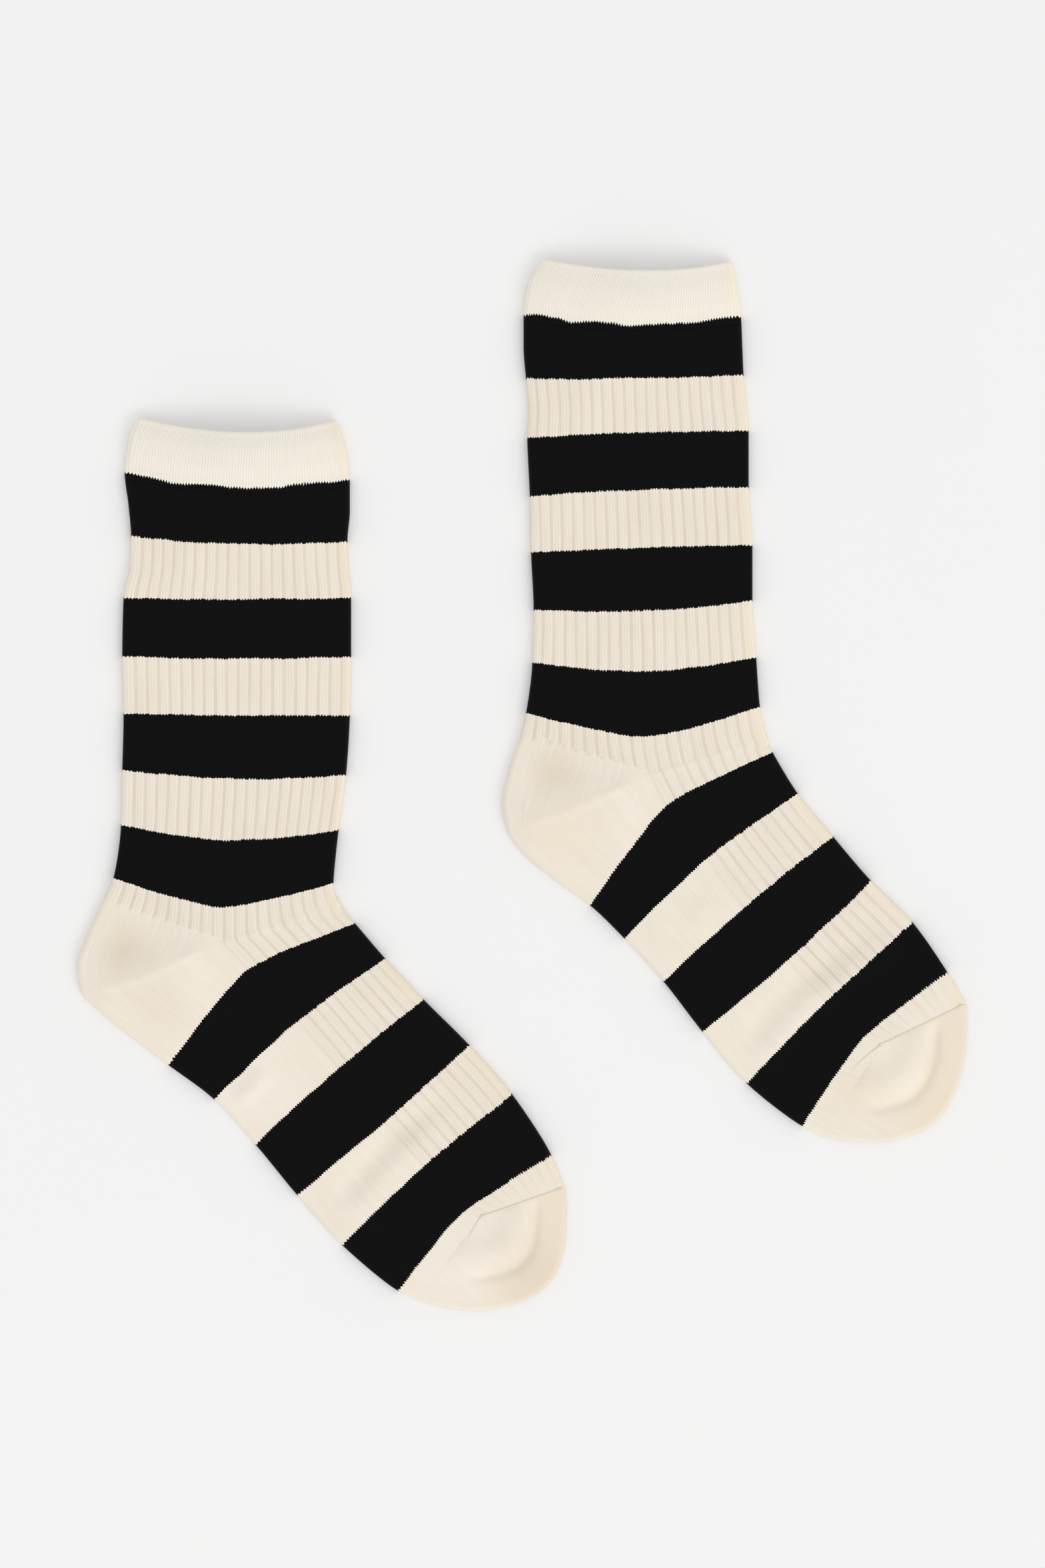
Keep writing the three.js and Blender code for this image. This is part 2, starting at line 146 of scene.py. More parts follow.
FORMS = (
    CourseForm("mouth", 2.1, 5.6, 0, 0, 0),
    CourseForm("welt", 1.8, 5.5, 0, 0, 0),
    CourseForm("leg start", 1.8, 4.8, 0, 1, 1),
    CourseForm("band 1", 1.9, 3.8, 0, 1, 1),
    CourseForm("band 1 end", 2, 2.8, 0, 1, 1),
    CourseForm("ribs 1", 2, 1.8, 0, 1, 1),
    CourseForm("band 2", 2, 1, 0, 1, 1),
    CourseForm("band 2 end", 2, 0.6, 0, 1, 1),
    CourseForm("band 3", 2, 0.5, 0, 1, 1),
    CourseForm("band 3 end", 2, 0.6, 0, 1, 1),
    CourseForm("band 4", 1.7, 1, 0, 1, 1),
    CourseForm("band 4 end", 1.25, 1.7, 0, 1, 1),
    CourseForm("heel start", 1.1, 2.4, 0, 1, 1),
    CourseForm("heel upper", 1, 2.5, -0.5, 0, 1),
    CourseForm("heel back", 1, 2.6, 0.3, 0, 1),
    CourseForm("heel fold", 1, 2.6, 1.9, 0, 1),
    CourseForm("heel lower", 1, 2.5, 0.9, 0, 1),
    CourseForm("sole start", 1.1, 2.3, 0.2, 0, 1),
    CourseForm("band 5", 1.15, 1.8, 0, 0, 1),
    CourseForm("band 5 end", 1.5, 1.2, 0, 0, 1),
    CourseForm("band 6", 2, 0.9, 0, 0, 1),
    CourseForm("band 6 end", 1.6, 0.9, 0, 0, 1),
    CourseForm("band 7", 1.5, 1.3, 0, 0, 1),
    CourseForm("band 7 end", 1.1, 2, 0, 0, 0.6),
    CourseForm("toe start", 1, 2.4, 0, 0, 0),
)
LEG_START = 2
HEEL_START = 12
GORE = 15
SOLE_START = 17
TOE_START = 24
BLACK_BANDS = ((2, 4), (6, 7), (8, 9), (10, 11), (18, 19), (20, 21), (22, 23))

LEFT_ROWS = (
    CourseRow((-153.5, 146), (-110.5, 139.5), (-73.5, 145)),
    CourseRow((-156, 138.5), (-112, 132), (-71, 137)),
    CourseRow((-158, 124), (-113, 117.5), (-68.5, 121)),
    CourseRow((-156.5, 111), (-113.2, 106.5), (-68.5, 109)),
    CourseRow((-155.5, 98.5), (-113.2, 95.5), (-69.5, 96.5)),
    CourseRow((-156, 86.5), (-113.3, 85.5), (-69, 85.5)),
    CourseRow((-158.5, 74), (-113.5, 73.5), (-68, 74)),
    CourseRow((-159, 51), (-113.5, 50), (-68, 51)),
    CourseRow((-158.5, 28), (-113.5, 27.5), (-68.5, 27.5)),
    CourseRow((-159, 6), (-114.5, 2.5), (-70, 4)),
    CourseRow((-159.5, -16), (-116, -22), (-73, -18)),
    CourseRow((-162.5, -37), (-119, -48.5), (-75, -39)),
    CourseRow((-165, -43), (-119, -61), (-73.5, -45)),
    CourseRow((-173.5, -61.5), (-119, -62), (-72.5, -46.5)),
    CourseRow((-177, -72), (-118.5, -62.5), (-72, -47.5)),
    CourseRow((-175.5, -82), (-118.5, -63), (-72, -48)),
    CourseRow((-168, -90), (-118, -64), (-71.5, -49)),
    CourseRow((-153, -102), (-116.5, -65.5), (-70.5, -50.5)),
    CourseRow((-140.5, -111.5), (-109, -73.5), (-66.5, -55)),
    CourseRow((-122.5, -125), (-89.5, -94), (-54.5, -69)),
    CourseRow((-106, -143), (-73.5, -113), (-39, -85.5)),
    CourseRow((-89.5, -163), (-55, -134), (-21, -103.5)),
    CourseRow((-71.5, -183), (-39.5, -151.5), (-4, -123)),
    CourseRow((-49.5, -201), (-23.5, -169.5), (11.5, -147)),
    CourseRow((-42, -204.5), (-16.5, -171), (17, -160)),
)
RIGHT_ROWS = (
    CourseRow((7, 209), (48, 203.5), (83.5, 208)),
    CourseRow((2.5, 199.5), (46, 193.5), (85, 199)),
    CourseRow((0.5, 186.5), (44, 182), (87, 185.5)),
    CourseRow((0.5, 174), (44.5, 171.5), (87.5, 174)),
    CourseRow((1.5, 161), (45, 161), (88, 162.5)),
    CourseRow((2.5, 149), (45.5, 149.5), (89, 151)),
    CourseRow((2, 137.5), (46, 139.5), (90, 140)),
    CourseRow((3, 114.5), (46.5, 117), (90, 118)),
    CourseRow((3.5, 92), (47.5, 94), (91.5, 95)),
    CourseRow((4.5, 69.5), (48, 69), (91.5, 73)),
    CourseRow((4, 48.5), (48.5, 45), (93, 50.5)),
    CourseRow((1.5, 28.5), (48.5, 19), (94.5, 31)),
    CourseRow((0, 21.5), (50.5, 5.5), (96.5, 21.5)),
    CourseRow((-5, 6.5), (50.5, 4.5), (97, 20)),
    CourseRow((-8, -8), (51, 4), (97.5, 19)),
    CourseRow((-6, -18), (51.5, 3.5), (97.5, 18.5)),
    CourseRow((0, -27), (51.5, 3), (98, 17.5)),
    CourseRow((14.5, -39), (52.5, 1.5), (98, 16)),
    CourseRow((27, -48), (57.5, -8), (99.5, 13)),
    CourseRow((40.5, -61), (73.5, -29), (109.5, -3.5)),
    CourseRow((56, -78), (88.5, -48.5), (123.5, -20.5)),
    CourseRow((71.5, -98), (106, -69), (138.5, -38)),
    CourseRow((89, -118.5), (121, -85.5), (155, -54.5)),
    CourseRow((111, -135.5), (135, -100.5), (169, -74.5)),
    CourseRow((119, -139.5), (142, -103), (176.5, -87)),
)
LEFT_TOE_EDGE = (
    (-42, -204.5), (-30.5, -207.5), (-18.5, -209), (-6.5, -207), (4.5, -203),
    (13, -194.5), (16.5, -184), (17.5, -171.5), (17, -160),
)
RIGHT_TOE_EDGE = (
    (119, -139.5), (129.5, -141.5), (142, -142), (153.5, -139.5), (163.5, -134.5),
    (171, -124), (175, -112.5), (176.5, -100), (176.5, -87),
)


def through(knots: Array, at: Array) -> Array:
    """A smooth value between evenly numbered knots, never beyond the two beside it.

    Args:
        knots: the values at places 0, 1, 2 and so on.
        at: the places asked for.

    Returns:
        One value for each place.
    """
    step = np.diff(knots)
    slope = np.empty_like(knots)
    slope[0], slope[-1] = step[0], step[-1]
    product, total = step[:-1] * step[1:], step[:-1] + step[1:]
    slope[1:-1] = np.where(product > 0, 2 * product / np.where(total == 0, 1, total), 0)
    k = np.clip(np.floor(at).astype(int), 0, len(knots) - 2)
    f = at - k
    g = 1 - f
    return (g * g * (1 + 2 * f) * knots[k] + f * g * g * slope[k]
            + f * f * (1 + 2 * g) * knots[k + 1] - f * f * g * slope[k + 1])


def points_through(points: Sequence[Point], at: Array) -> Array:
    """Points on the smooth line through a table's points, as rows of x and y."""
    table = np.array(points, float)
    return np.stack([through(table[:, 0], at), through(table[:, 1], at)], -1)


def smoothstep(low: float, high: float, value: Array) -> Array:
    """0 below low, 1 above high and an even rise between."""
    x = np.clip((value - low) / (high - low), 0, 1)
    return x * x * (3 - 2 * x)


def bell(value: Array, centre: float, spread: float) -> Array:
    """1 at the centre, dying out to both sides."""
    return np.exp(-(((value - centre) / spread) ** 2))


@dataclass(frozen=True)
class Crease:
    """A soft trough pressed into the upper face, or a ridge if its depth is below 0.

    Attributes:
        line: where it runs, seen from above, in mm.
        depth: how deep it is at its line, in mm.
        width: how far to the left of its line it has died down to a third, in mm.
        other: the same to the right.
        taper: over what length each end dies out, in mm.
    """

    line: tuple[Point, ...]
    depth: float
    width: float
    other: float
    taper: float = 14.0

    def rise(self, plan: Array) -> Array:
        """How much it raises the face at each point.

        Args:
            plan: points seen from above, in mm, x and y last.

        Returns:
            Heights in mm, below 0 in a trough.
        """
        knots = np.array(self.line, float)
        nearest = np.full(plan.shape[:-1], 1e9)
        along = np.zeros(plan.shape[:-1])
        width = np.full(plan.shape[:-1], self.width)
        run = 0.0
        for a, b in zip(knots[:-1], knots[1:]):
            edge = b - a
            length = float(np.hypot(*edge))
            share = np.clip(((plan - a) @ edge) / length ** 2, 0, 1)
            away = np.linalg.norm(plan - a - share[..., None] * edge, axis=-1)
            closer = away < nearest
            to_left = edge[0] * (plan[..., 1] - a[1]) > edge[1] * (plan[..., 0] - a[0])
            width = np.where(closer, np.where(to_left, self.width, self.other), width)
            nearest = np.where(closer, away, nearest)
            along = np.where(closer, run + share * length, along)
            run += length
        reach = min(self.taper, run / 2)
        fade = smoothstep(0, reach, along) * smoothstep(0, reach, run - along)
        return -self.depth * fade * np.exp(-((nearest / width) ** 2))


@dataclass
class Courses:
    """Courses at any places along a sock, as arrays with one entry for each course."""

    back: Array
    mid: Array
    front: Array
    bend: Array
    lift: Array
    heel: Array
    back_ribs: Array
    front_ribs: Array

    def plan(self, t: Array) -> Array:
        """Points of every course seen from above.

        Args:
            t: places across the face, 0 at the back and 1 at the front, for each course.

        Returns:
            x and y in mm for each course and place.
        """
        in_back = (t < 0.5)[..., None]
        start = np.where(in_back, self.back[:, None], self.mid[:, None])
        end = np.where(in_back, self.mid[:, None], self.front[:, None])
        f = np.where(in_back, 2 * t[..., None], 2 * t[..., None] - 1)
        bow = (self.mid - (self.back + self.front) / 2)[:, None]
        return start + (end - start) * f + bow * (self.bend[:, None, None] - 1) * f * (1 - f)


@dataclass(frozen=True)
class ToePocket:
    """The closed toe: a mound round its middle, and a soft crease inside a lower rim."""

    edge: tuple[Point, ...]
    tail: tuple[Point, ...]       # the seam's end, from the toe's middle over the pocket
    mound: float = 2.5
    mound_at: float = 0.4
    mound_spread: float = 0.18
    crease: float = 1.8
    crease_at: float = 0.63
    crease_spread: float = 0.07
    crease_start: float = 0.1
    crease_full: float = 0.35

    def relief(self, out: Array, turn: Array) -> Array:
        """Extra height of the upper face at shares out from the middle and round from the sole."""
        share = (smoothstep(self.crease_start, self.crease_full, turn)
                 * (1 - smoothstep(1 - self.crease_start, 1, turn)))
        return (self.mound * bell(out, self.mound_at, self.mound_spread)
                * np.sin(np.pi * turn) ** 0.7
                - self.crease * share * bell(out, self.crease_at, self.crease_spread))


@dataclass(frozen=True)
class SockForm:
    """Where every point of one flat sock lies."""

    side: Side
    rows: tuple[CourseRow, ...]
    toe: ToePocket
    creases: tuple[Crease, ...]
    shade_and_tone_spots: tuple[ToneAndShadeSpot, ...]
    wander: float                 # phase of the ribs' slight waver
    rib_shift: float              # of the ribs towards the front, in mm

    def courses(self, at: Array) -> Courses:
        """The courses at places along the sock, in row numbers."""
        def form(pick: str) -> Array:
            """One value of the table of forms, at every place."""
            return through(np.array([getattr(f, pick) for f in FORMS], float), at)
        return Courses(
            points_through([r.back for r in self.rows], at),
            points_through([r.mid for r in self.rows], at),
            points_through([r.front for r in self.rows], at),
            form("round"), form("lift"), form("heel"),
            smoothstep(0.8, 0.98, form("back_ribs")), form("front_ribs"),
        )

    def ruler(self, edges: Sequence[str]) -> tuple[Array, Array]:
        """Row numbers and the length up to each, in mm, along the longest of some edges."""
        at = np.linspace(0, TOE_START, TOE_START * 60 + 1)
        courses = self.courses(at)
        steps = [np.linalg.norm(np.diff(getattr(courses, e), axis=0), axis=1) for e in edges]
        return at, np.concatenate([[0], np.cumsum(np.max(steps, axis=0))])

    def band_place(self, at: Array) -> Array:
        """The length along the middle from the mouth to places along the sock, in mm."""
        knots, length = self.ruler(["mid"])
        return np.interp(at, knots, length)

    def band_of(self, row: float) -> float:
        """The length along the middle from the mouth to one row, in mm."""
        return float(self.band_place(np.array([float(row)]))[0])

    def places(self, start: float, end: float, step: float) -> Array:
        """Places from start to end, evenly spaced where the knit is longest."""
        knots, length = self.ruler(["back", "mid", "front"])
        a, b = np.interp([start, end], knots, length)
        return np.interp(np.linspace(a, b, max(2, round((b - a) / step) + 1)), length, knots)

    def black_share(self, at: Array) -> Array:
        """1 in the black bands and 0 between them, at places along the sock."""
        place = self.band_place(at)
        share = np.zeros_like(place)
        for band in BLACK_BANDS:
            start, end = self.band_place(np.array(band, float))
            share += (smoothstep(start - 0.8, start + 0.8, place)
                      - smoothstep(end - 0.8, end + 0.8, place))
        return share

    def place_of(self, millimetres: float) -> float:
        """The place that lies so many millimetres along the middle from the mouth."""
        knots, length = self.ruler(["mid"])
        return float(np.interp(millimetres, length, knots))


@dataclass
class Ring:
    """A flattened tube's points at each place along it and each wale round it."""

    form: SockForm
    at: Array
    wale: Array
    height: Array                 # of the side fold at each place
    ribs_show: bool = True
    draw_in: Array | None = None

    def __post_init__(self) -> None:
        """Works out where on the two faces each point lies."""
        courses = self.form.courses(self.at)
        above = self.wale <= WALES
        flat = np.where(above, self.wale, 2 * WALES - self.wale) / WALES
        t = np.broadcast_to(flat, (len(self.at), len(self.wale))).copy()
        half = self.height / 2
        back = half / (2 * np.linalg.norm(courses.mid - courses.back, axis=1))
        front = half / (2 * np.linalg.norm(courses.front - courses.mid, axis=1))
        near = np.minimum(t / back[:, None], (1 - t) / front[:, None])
        turn = np.clip(near, 0, 1) * np.pi / 2
        eased = 1 - np.cos(turn)
        t = np.where(t < back[:, None], back[:, None] * eased,
                     np.where(1 - t < front[:, None], 1 - front[:, None] * eased, t))
        self.courses, self.above, self.t = courses, above[None, :], t
        self.fold = np.sin(turn)

    def band(self) -> Array:
        """The band place of each point, which rounds the bands off where their courses bend."""
        c = self.courses
        chord = c.front - c.back
        across = chord / np.linalg.norm(chord, axis=1)[:, None]
        forward = np.stack([across[:, 1], -across[:, 0]], -1)
        bow = np.sum((c.mid - (c.back + c.front) / 2) * forward, axis=1)[:, None]
        x = np.abs(2 * self.t - 1)
        lowest = BAND_BEND - math.hypot(1, BAND_BEND) + 1
        eased = np.sqrt(x * x + BAND_BEND ** 2) - math.hypot(1, BAND_BEND) + 1
        fuller = (1 - eased) / (1 - lowest) - (1 - x)
        sharp = np.clip(2 - c.bend, 0, 1)[:, None]
        return self.form.band_place(self.at)[:, None] - bow * fuller * sharp

    def rib_share(self) -> Array:
        """The share of their full height that the ribs have at each point."""
        if not self.ribs_show:
            return np.zeros_like(self.t)
        mix = smoothstep(0.47, 0.53, self.t)
        return (self.courses.back_ribs[:, None] * (1 - mix)
                + self.courses.front_ribs[:, None] * mix)

    def relief(self) -> Array:
        """How far up the ribs stand at each point, in shares of their full height."""
        faint = 1 - (1 - BLACK_RELIEF) * self.form.black_share(self.at)
        return self.rib_share() * faint[:, None] * self.fold

    def groove(self) -> Array:
        """1 along the bottom of the grooves, uneven from one to the next, and 0 on the ribs."""
        away = np.abs((self.wale + RIB_WALES / 2) % RIB_WALES - RIB_WALES / 2)
        number = np.round(self.wale / RIB_WALES)
        band = self.form.band_place(self.at)[:, None]
        uneven = 0.85 + 0.2 * np.sin(2.4 * number + band / 13 + self.form.wander)
        return (1 - smoothstep(0, GROOVE_REACH, away))[None, :] * uneven

    def plan(self) -> Array:
        """x and y of each point, with the slight waver of hand-laid ribs."""
        band = self.form.band_place(self.at)[:, None]
        u = self.wale[None, :] / 9
        slow, quick = SWAY
        sway = (slow * np.sin(band / 17 + 1.7 * np.sin(u) + self.form.wander)
                + quick * np.sin(band / 5.3 + 2.9 * u + 2 * self.form.wander)
                + self.form.rib_shift)
        inner = smoothstep(0, CALM, self.t) * (1 - smoothstep(1 - CALM, 1, self.t))
        width = np.linalg.norm(self.courses.front - self.courses.back, axis=1)[:, None]
        t = self.t + sway * inner * self.above / width
        plan = self.courses.plan(t)
        if self.draw_in is not None:
            centre = self.courses.mid[:, None]
            arm = plan - centre
            reach = np.linalg.norm(arm, axis=-1, keepdims=True) + 1e-9
            plan = centre + arm * (1 - self.draw_in[:, None, None] / np.maximum(reach, 3))
        return plan

    def ceiling(self, plan: Array) -> Array:
        """Height of the upper face over its ribs' grooves, without the ribs."""
        c = self.courses
        over_heel = np.where(self.t < 0.5, c.heel[:, None] * np.sin(2 * np.pi * self.t) ** 2, 0)
        z = c.lift[:, None] * np.sin(np.pi * self.t) + over_heel * HEEL_RISE
        for crease in self.form.creases:
            z = z + crease.rise(plan) * self.fold
        return z + self.height[:, None] * (FOLD_REST + (1 - FOLD_REST) * self.fold)

    def outside(self) -> Array:
        """x, y and z of the outer surface, in mm."""
        plan = self.plan()
        top, cut = RIB_RISE * self.rib_share() * self.fold, self.relief() * self.groove()
        upper = self.ceiling(plan) + top - RIB_RISE * cut
        lower = self.height[:, None] * FOLD_REST * (1 - self.fold) + UNDER_GROOVE * cut
        if self.draw_in is not None:
            upper = upper - self.draw_in[:, None]
            lower = lower + self.draw_in[:, None]
        return np.concatenate([plan, np.where(self.above, upper, lower)[..., None]], -1)

    def inside(self, wall: Array) -> Array:
        """x, y and z of the inner surface, in mm, a wall's thickness inside the outer one."""
        plan = self.plan()
        upper = self.ceiling(plan) - wall[:, None]
        lower = np.broadcast_to(wall[:, None], upper.shape)
        middle = (upper + lower) / 2
        pinched = np.where(self.above, upper, lower) * self.fold + middle * (1 - self.fold)
        root = np.clip(self.t, self.inset()[0], 1 - self.inset()[1])
        plan = self.courses.plan(root)
        return np.concatenate([plan, pinched[..., None]], -1)

    def inset(self) -> tuple[Array, Array]:
        """How far in the side folds' roots lie, at the back and at the front."""
        half = self.height[:, None] / 4
        c = self.courses
        return (half / np.linalg.norm(c.mid - c.back, axis=1)[:, None],
                half / np.linalg.norm(c.front - c.mid, axis=1)[:, None])


class KnitMesh:
    """Points and faces of a knitted piece, with the wale and course at every corner."""

    def __init__(self) -> None:
        """Starts with nothing in it."""
        self.points: list[Array] = []
        self.count = 0
        self.faces: list[tuple[int, ...]] = []
        self.knit: list[tuple[float, float]] = []
        self.bands: list[tuple[float, float]] = []

    def add(self, points: Array) -> Array:
        """Adds points and returns their numbers in the shape they came in."""
        flat = points.reshape(-1, 3)
        first = self.count
        self.points.append(flat)
        self.count += len(flat)
        return np.arange(first, self.count).reshape(points.shape[:-1])

    def grid(self, number: Array, knit: Array, bands: Array, flip: bool = False) -> None:
        """Quads between neighbouring rows and columns of points.

        Args:
            number: point numbers, rows by columns.
            knit: wale and course at each quad's corners, quads by four by two, or at points.
            bands: band place and rib share at each point.
            flip: True where the faces look the other way.
        """
        corners = [(0, 0), (1, 0), (1, 1), (0, 1)]
        if flip:
            corners.reverse()
        rows, columns = number.shape[0] - 1, number.shape[1] - 1

        def corner(values: Array, k: int) -> Array:
            """The values at one corner of every quad."""
            r, c = corners[k]
            return values[r:r + rows, c:c + columns]
        quads = np.stack([corner(number, k) for k in range(4)], -1).reshape(-1, 4)
        at_bands = np.stack([corner(bands, k) for k in range(4)], -2).reshape(-1, 4, 2)
        if knit.ndim == 3:
            at_knit = np.stack([corner(knit, k) for k in range(4)], -2).reshape(-1, 4, 2)
        else:
            order = [[(0, 0), (1, 0), (1, 1), (0, 1)].index(c) for c in corners]
            at_knit = knit[:, :, order].reshape(-1, 4, 2)
        for face, k_uv, b_uv in zip(quads.tolist(), at_knit.tolist(), at_bands.tolist()):
            kept = [i for i in range(4) if face[i] != face[i - 1]]
            if len(kept) < 3:
                continue
            self.faces.append(tuple(face[i] for i in kept))
            self.knit.extend(k_uv[i] for i in kept)
            self.bands.extend(b_uv[i] for i in kept)

    def zip(self, a: Array, b: Array, a_at: Array, b_at: Array, band: float) -> None:
        """Triangles between two closed loops of different counts.

        Args:
            a: point numbers of one loop.
            b: point numbers of the other.
            a_at: rising places of the first loop's points, ending with the first one again.
            b_at: the same for the second loop.
            band: band place of the faces.
        """
        i = j = 0
        while i < len(a) or j < len(b):
            now_a, now_b = int(a[i % len(a)]), int(b[j % len(b)])
            if j >= len(b) or (i < len(a) and a_at[i + 1] <= b_at[j + 1]):
                face = (now_a, int(a[(i + 1) % len(a)]), now_b)
                i += 1
            else:
                face = (now_a, int(b[(j + 1) % len(b)]), now_b)
                j += 1
            self.faces.append(face)
            self.knit.extend([(float(a_at[min(i, len(a))]), 0.0)] * 3)
            self.bands.extend([(band, 0.0)] * 3)

    def made(self, name: str) -> bpy.types.Object:
        """The piece as an object at the origin, in metres, shaded smooth.

        Args:
            name: the piece's name.

        Returns:
            The object, linked to the scene.
        """
        mesh = bpy.data.meshes.new(name)
        points = np.concatenate(self.points) * MM
        mesh.from_pydata(points.tolist(), [], self.faces)
        for layer, values in (("knit", self.knit), ("bands", self.bands)):
            uv = mesh.uv_layers.new(name=layer)
            uv.data.foreach_set("uv", np.array(values, np.float32).ravel())
        mesh.polygons.foreach_set("use_smooth", np.ones(len(mesh.polygons), bool))
        mesh.update()
        mesh.validate()
        piece = bpy.data.objects.new(name, mesh)
        bpy.context.scene.collection.objects.link(piece)
        return piece


def quad_corners(values: Array) -> Array:
    """The values at the four corners of every quad of a grid, in the order of its faces."""
    return np.stack([values[:-1, :-1], values[1:, :-1], values[1:, 1:], values[:-1, 1:]], 2)


def face_wales(steps: Sequence[float]) -> Array:
    """Wales of a mesh's columns across one face, the same from either side.

    Args:
        steps: places round each groove, in wales from its bottom, from -2 to 2.

    Returns:
        Rising wale numbers from 0 to 84, both ends in.
    """
    wales = {0.0, 2.0, WALES - 2, WALES}
    for groove in np.arange(RIB_WALES, WALES, RIB_WALES):
        wales |= {round(float(groove + s), 3) for s in steps}
    for w in FOLD_WALES:
        wales |= {w, WALES - w}
    return np.array(sorted(wales))


def round_wales(above: Sequence[float], below: Sequence[float]) -> Array:
    """Wales of a mesh's columns all the way round, from 0 to just short of 168."""
    top, bottom = face_wales(above), face_wales(below)
    return np.concatenate([top, 2 * WALES - bottom[::-1][1:-1]])


class Writer:
    """Writes shader nodes into one tree."""

    def __init__(self, tree: bpy.types.NodeTree) -> None:
        """Takes the tree to write in."""
        self.tree = tree

    def node(self, kind: str, **settings: Any) -> bpy.types.Node:
        """Adds a node and sets its properties by name."""
        made = self.tree.nodes.new(kind)
        for name, value in settings.items():
            setattr(made, name, value)
        return made

    def put(self, value: Any, socket: bpy.types.NodeSocket) -> None:
        """Links a socket into another one, or sets it to a plain value."""
        if isinstance(value, bpy.types.NodeSocket):
            self.tree.links.new(value, socket)
        else:
            socket.default_value = value

    def math(self, operation: str, *values: Any) -> bpy.types.NodeSocket:
        """The result of a Math node on one to three values."""
        made = self.node("ShaderNodeMath", operation=operation)
        for value, socket in zip(values, made.inputs):
            self.put(value, socket)
        return made.outputs[0]

    def mix(self, factor: Any, a: Any, b: Any) -> bpy.types.NodeSocket:
        """A colour between a at factor 0 and b at factor 1."""
        made = self.node("ShaderNodeMix", data_type="RGBA")
        for value, socket in ((factor, made.inputs[0]), (a, made.inputs[6]), (b, made.inputs[7])):
            self.put(value, socket)
        return made.outputs[2]

    def ease(self, value: Any, low: float, high: float) -> bpy.types.NodeSocket:
        """0 where a value is below low, 1 above high, smooth between."""
        made = self.node("ShaderNodeMapRange", interpolation_type="SMOOTHSTEP")
        for number, socket in zip((value, low, high, 0.0, 1.0), made.inputs):
            self.put(number, socket)
        return made.outputs[0]

    def near(self, place: Any, at: Point, reach: float) -> bpy.types.NodeSocket:
        """1 at a point seen from above, dying out over a reach round it, both in mm."""
        x, y, _ = self.parts(place)
        made = self.node("ShaderNodeVectorMath", operation="DISTANCE")
        self.put(self.vector(x, y), made.inputs[0])
        self.put((at[0] * MM, at[1] * MM, 0.0), made.inputs[1])
        return self.ease(made.outputs["Value"], reach * MM, 0.0)

    def noise(self, vector: Any, scale: float, detail: float = 2.0) -> bpy.types.NodeSocket:
        """The value of a Noise Texture, about 0.5."""
        made = self.node("ShaderNodeTexNoise")
        self.put(vector, made.inputs["Vector"])
        self.put(scale, made.inputs["Scale"])
        self.put(detail, made.inputs["Detail"])
        return made.outputs[0]

    def vector(self, x: Any, y: Any, z: Any = 0.0) -> bpy.types.NodeSocket:
        """A vector put together from three values."""
        made = self.node("ShaderNodeCombineXYZ")
        for value, socket in zip((x, y, z), made.inputs):
            self.put(value, socket)
        return made.outputs[0]

    def parts(self, vector: Any) -> list[bpy.types.NodeSocket]:
        """The x, y and z of a vector."""
        made = self.node("ShaderNodeSeparateXYZ")
        self.put(vector, made.inputs[0])
        return list(made.outputs)


def colour(yarn: Yarn) -> tuple[float, float, float, float]:
    """A yarn's colour with its alpha."""
    return (*yarn.value, 1.0)


class Effect:
    """A shader node group, built once and placed in each material that shows it."""

    name = "effect"
    takes: tuple[str, ...] = ()
    gives: tuple[str, ...] = ()

    def group(self) -> bpy.types.NodeTree:
        """The group, made the first time that it is asked for."""
        known = bpy.data.node_groups.get(self.name)
        if known:
            return known
        tree = bpy.data.node_groups.new(self.name, "ShaderNodeTree")
        for socket in self.takes:
            kind = "NodeSocketVector" if socket == "Place" else "NodeSocketFloat"
            tree.interface.new_socket(name=socket, in_out="INPUT", socket_type=kind)
        for socket in self.gives:
            tree.interface.new_socket(name=socket, in_out="OUTPUT", socket_type="NodeSocketFloat")
        write = Writer(tree)
        entry, leaving = write.node("NodeGroupInput"), write.node("NodeGroupOutput")
        results = self.write(write, {s: entry.outputs[s] for s in self.takes})
        for socket, value in results.items():
            write.put(value, leaving.inputs[socket])
        return tree

    def write(self, write: Writer, given: dict[str, Any]) -> dict[str, Any]:
        """Writes the group's own nodes and returns what each output is."""
        raise NotImplementedError

    def place(self, write: Writer, **values: Any) -> dict[str, bpy.types.NodeSocket]:
        """Puts the group in a material.

        Args:
            write: the material's writer.
            values: what goes into each input, with _ for a space in its name.

        Returns:
            The outputs by name.
        """
        node = write.node("ShaderNodeGroup", node_tree=self.group(), label=self.name)
        for socket, value in values.items():
            write.put(value, node.inputs[socket.replace("_", " ")])
        return {s: node.outputs[s] for s in self.gives}


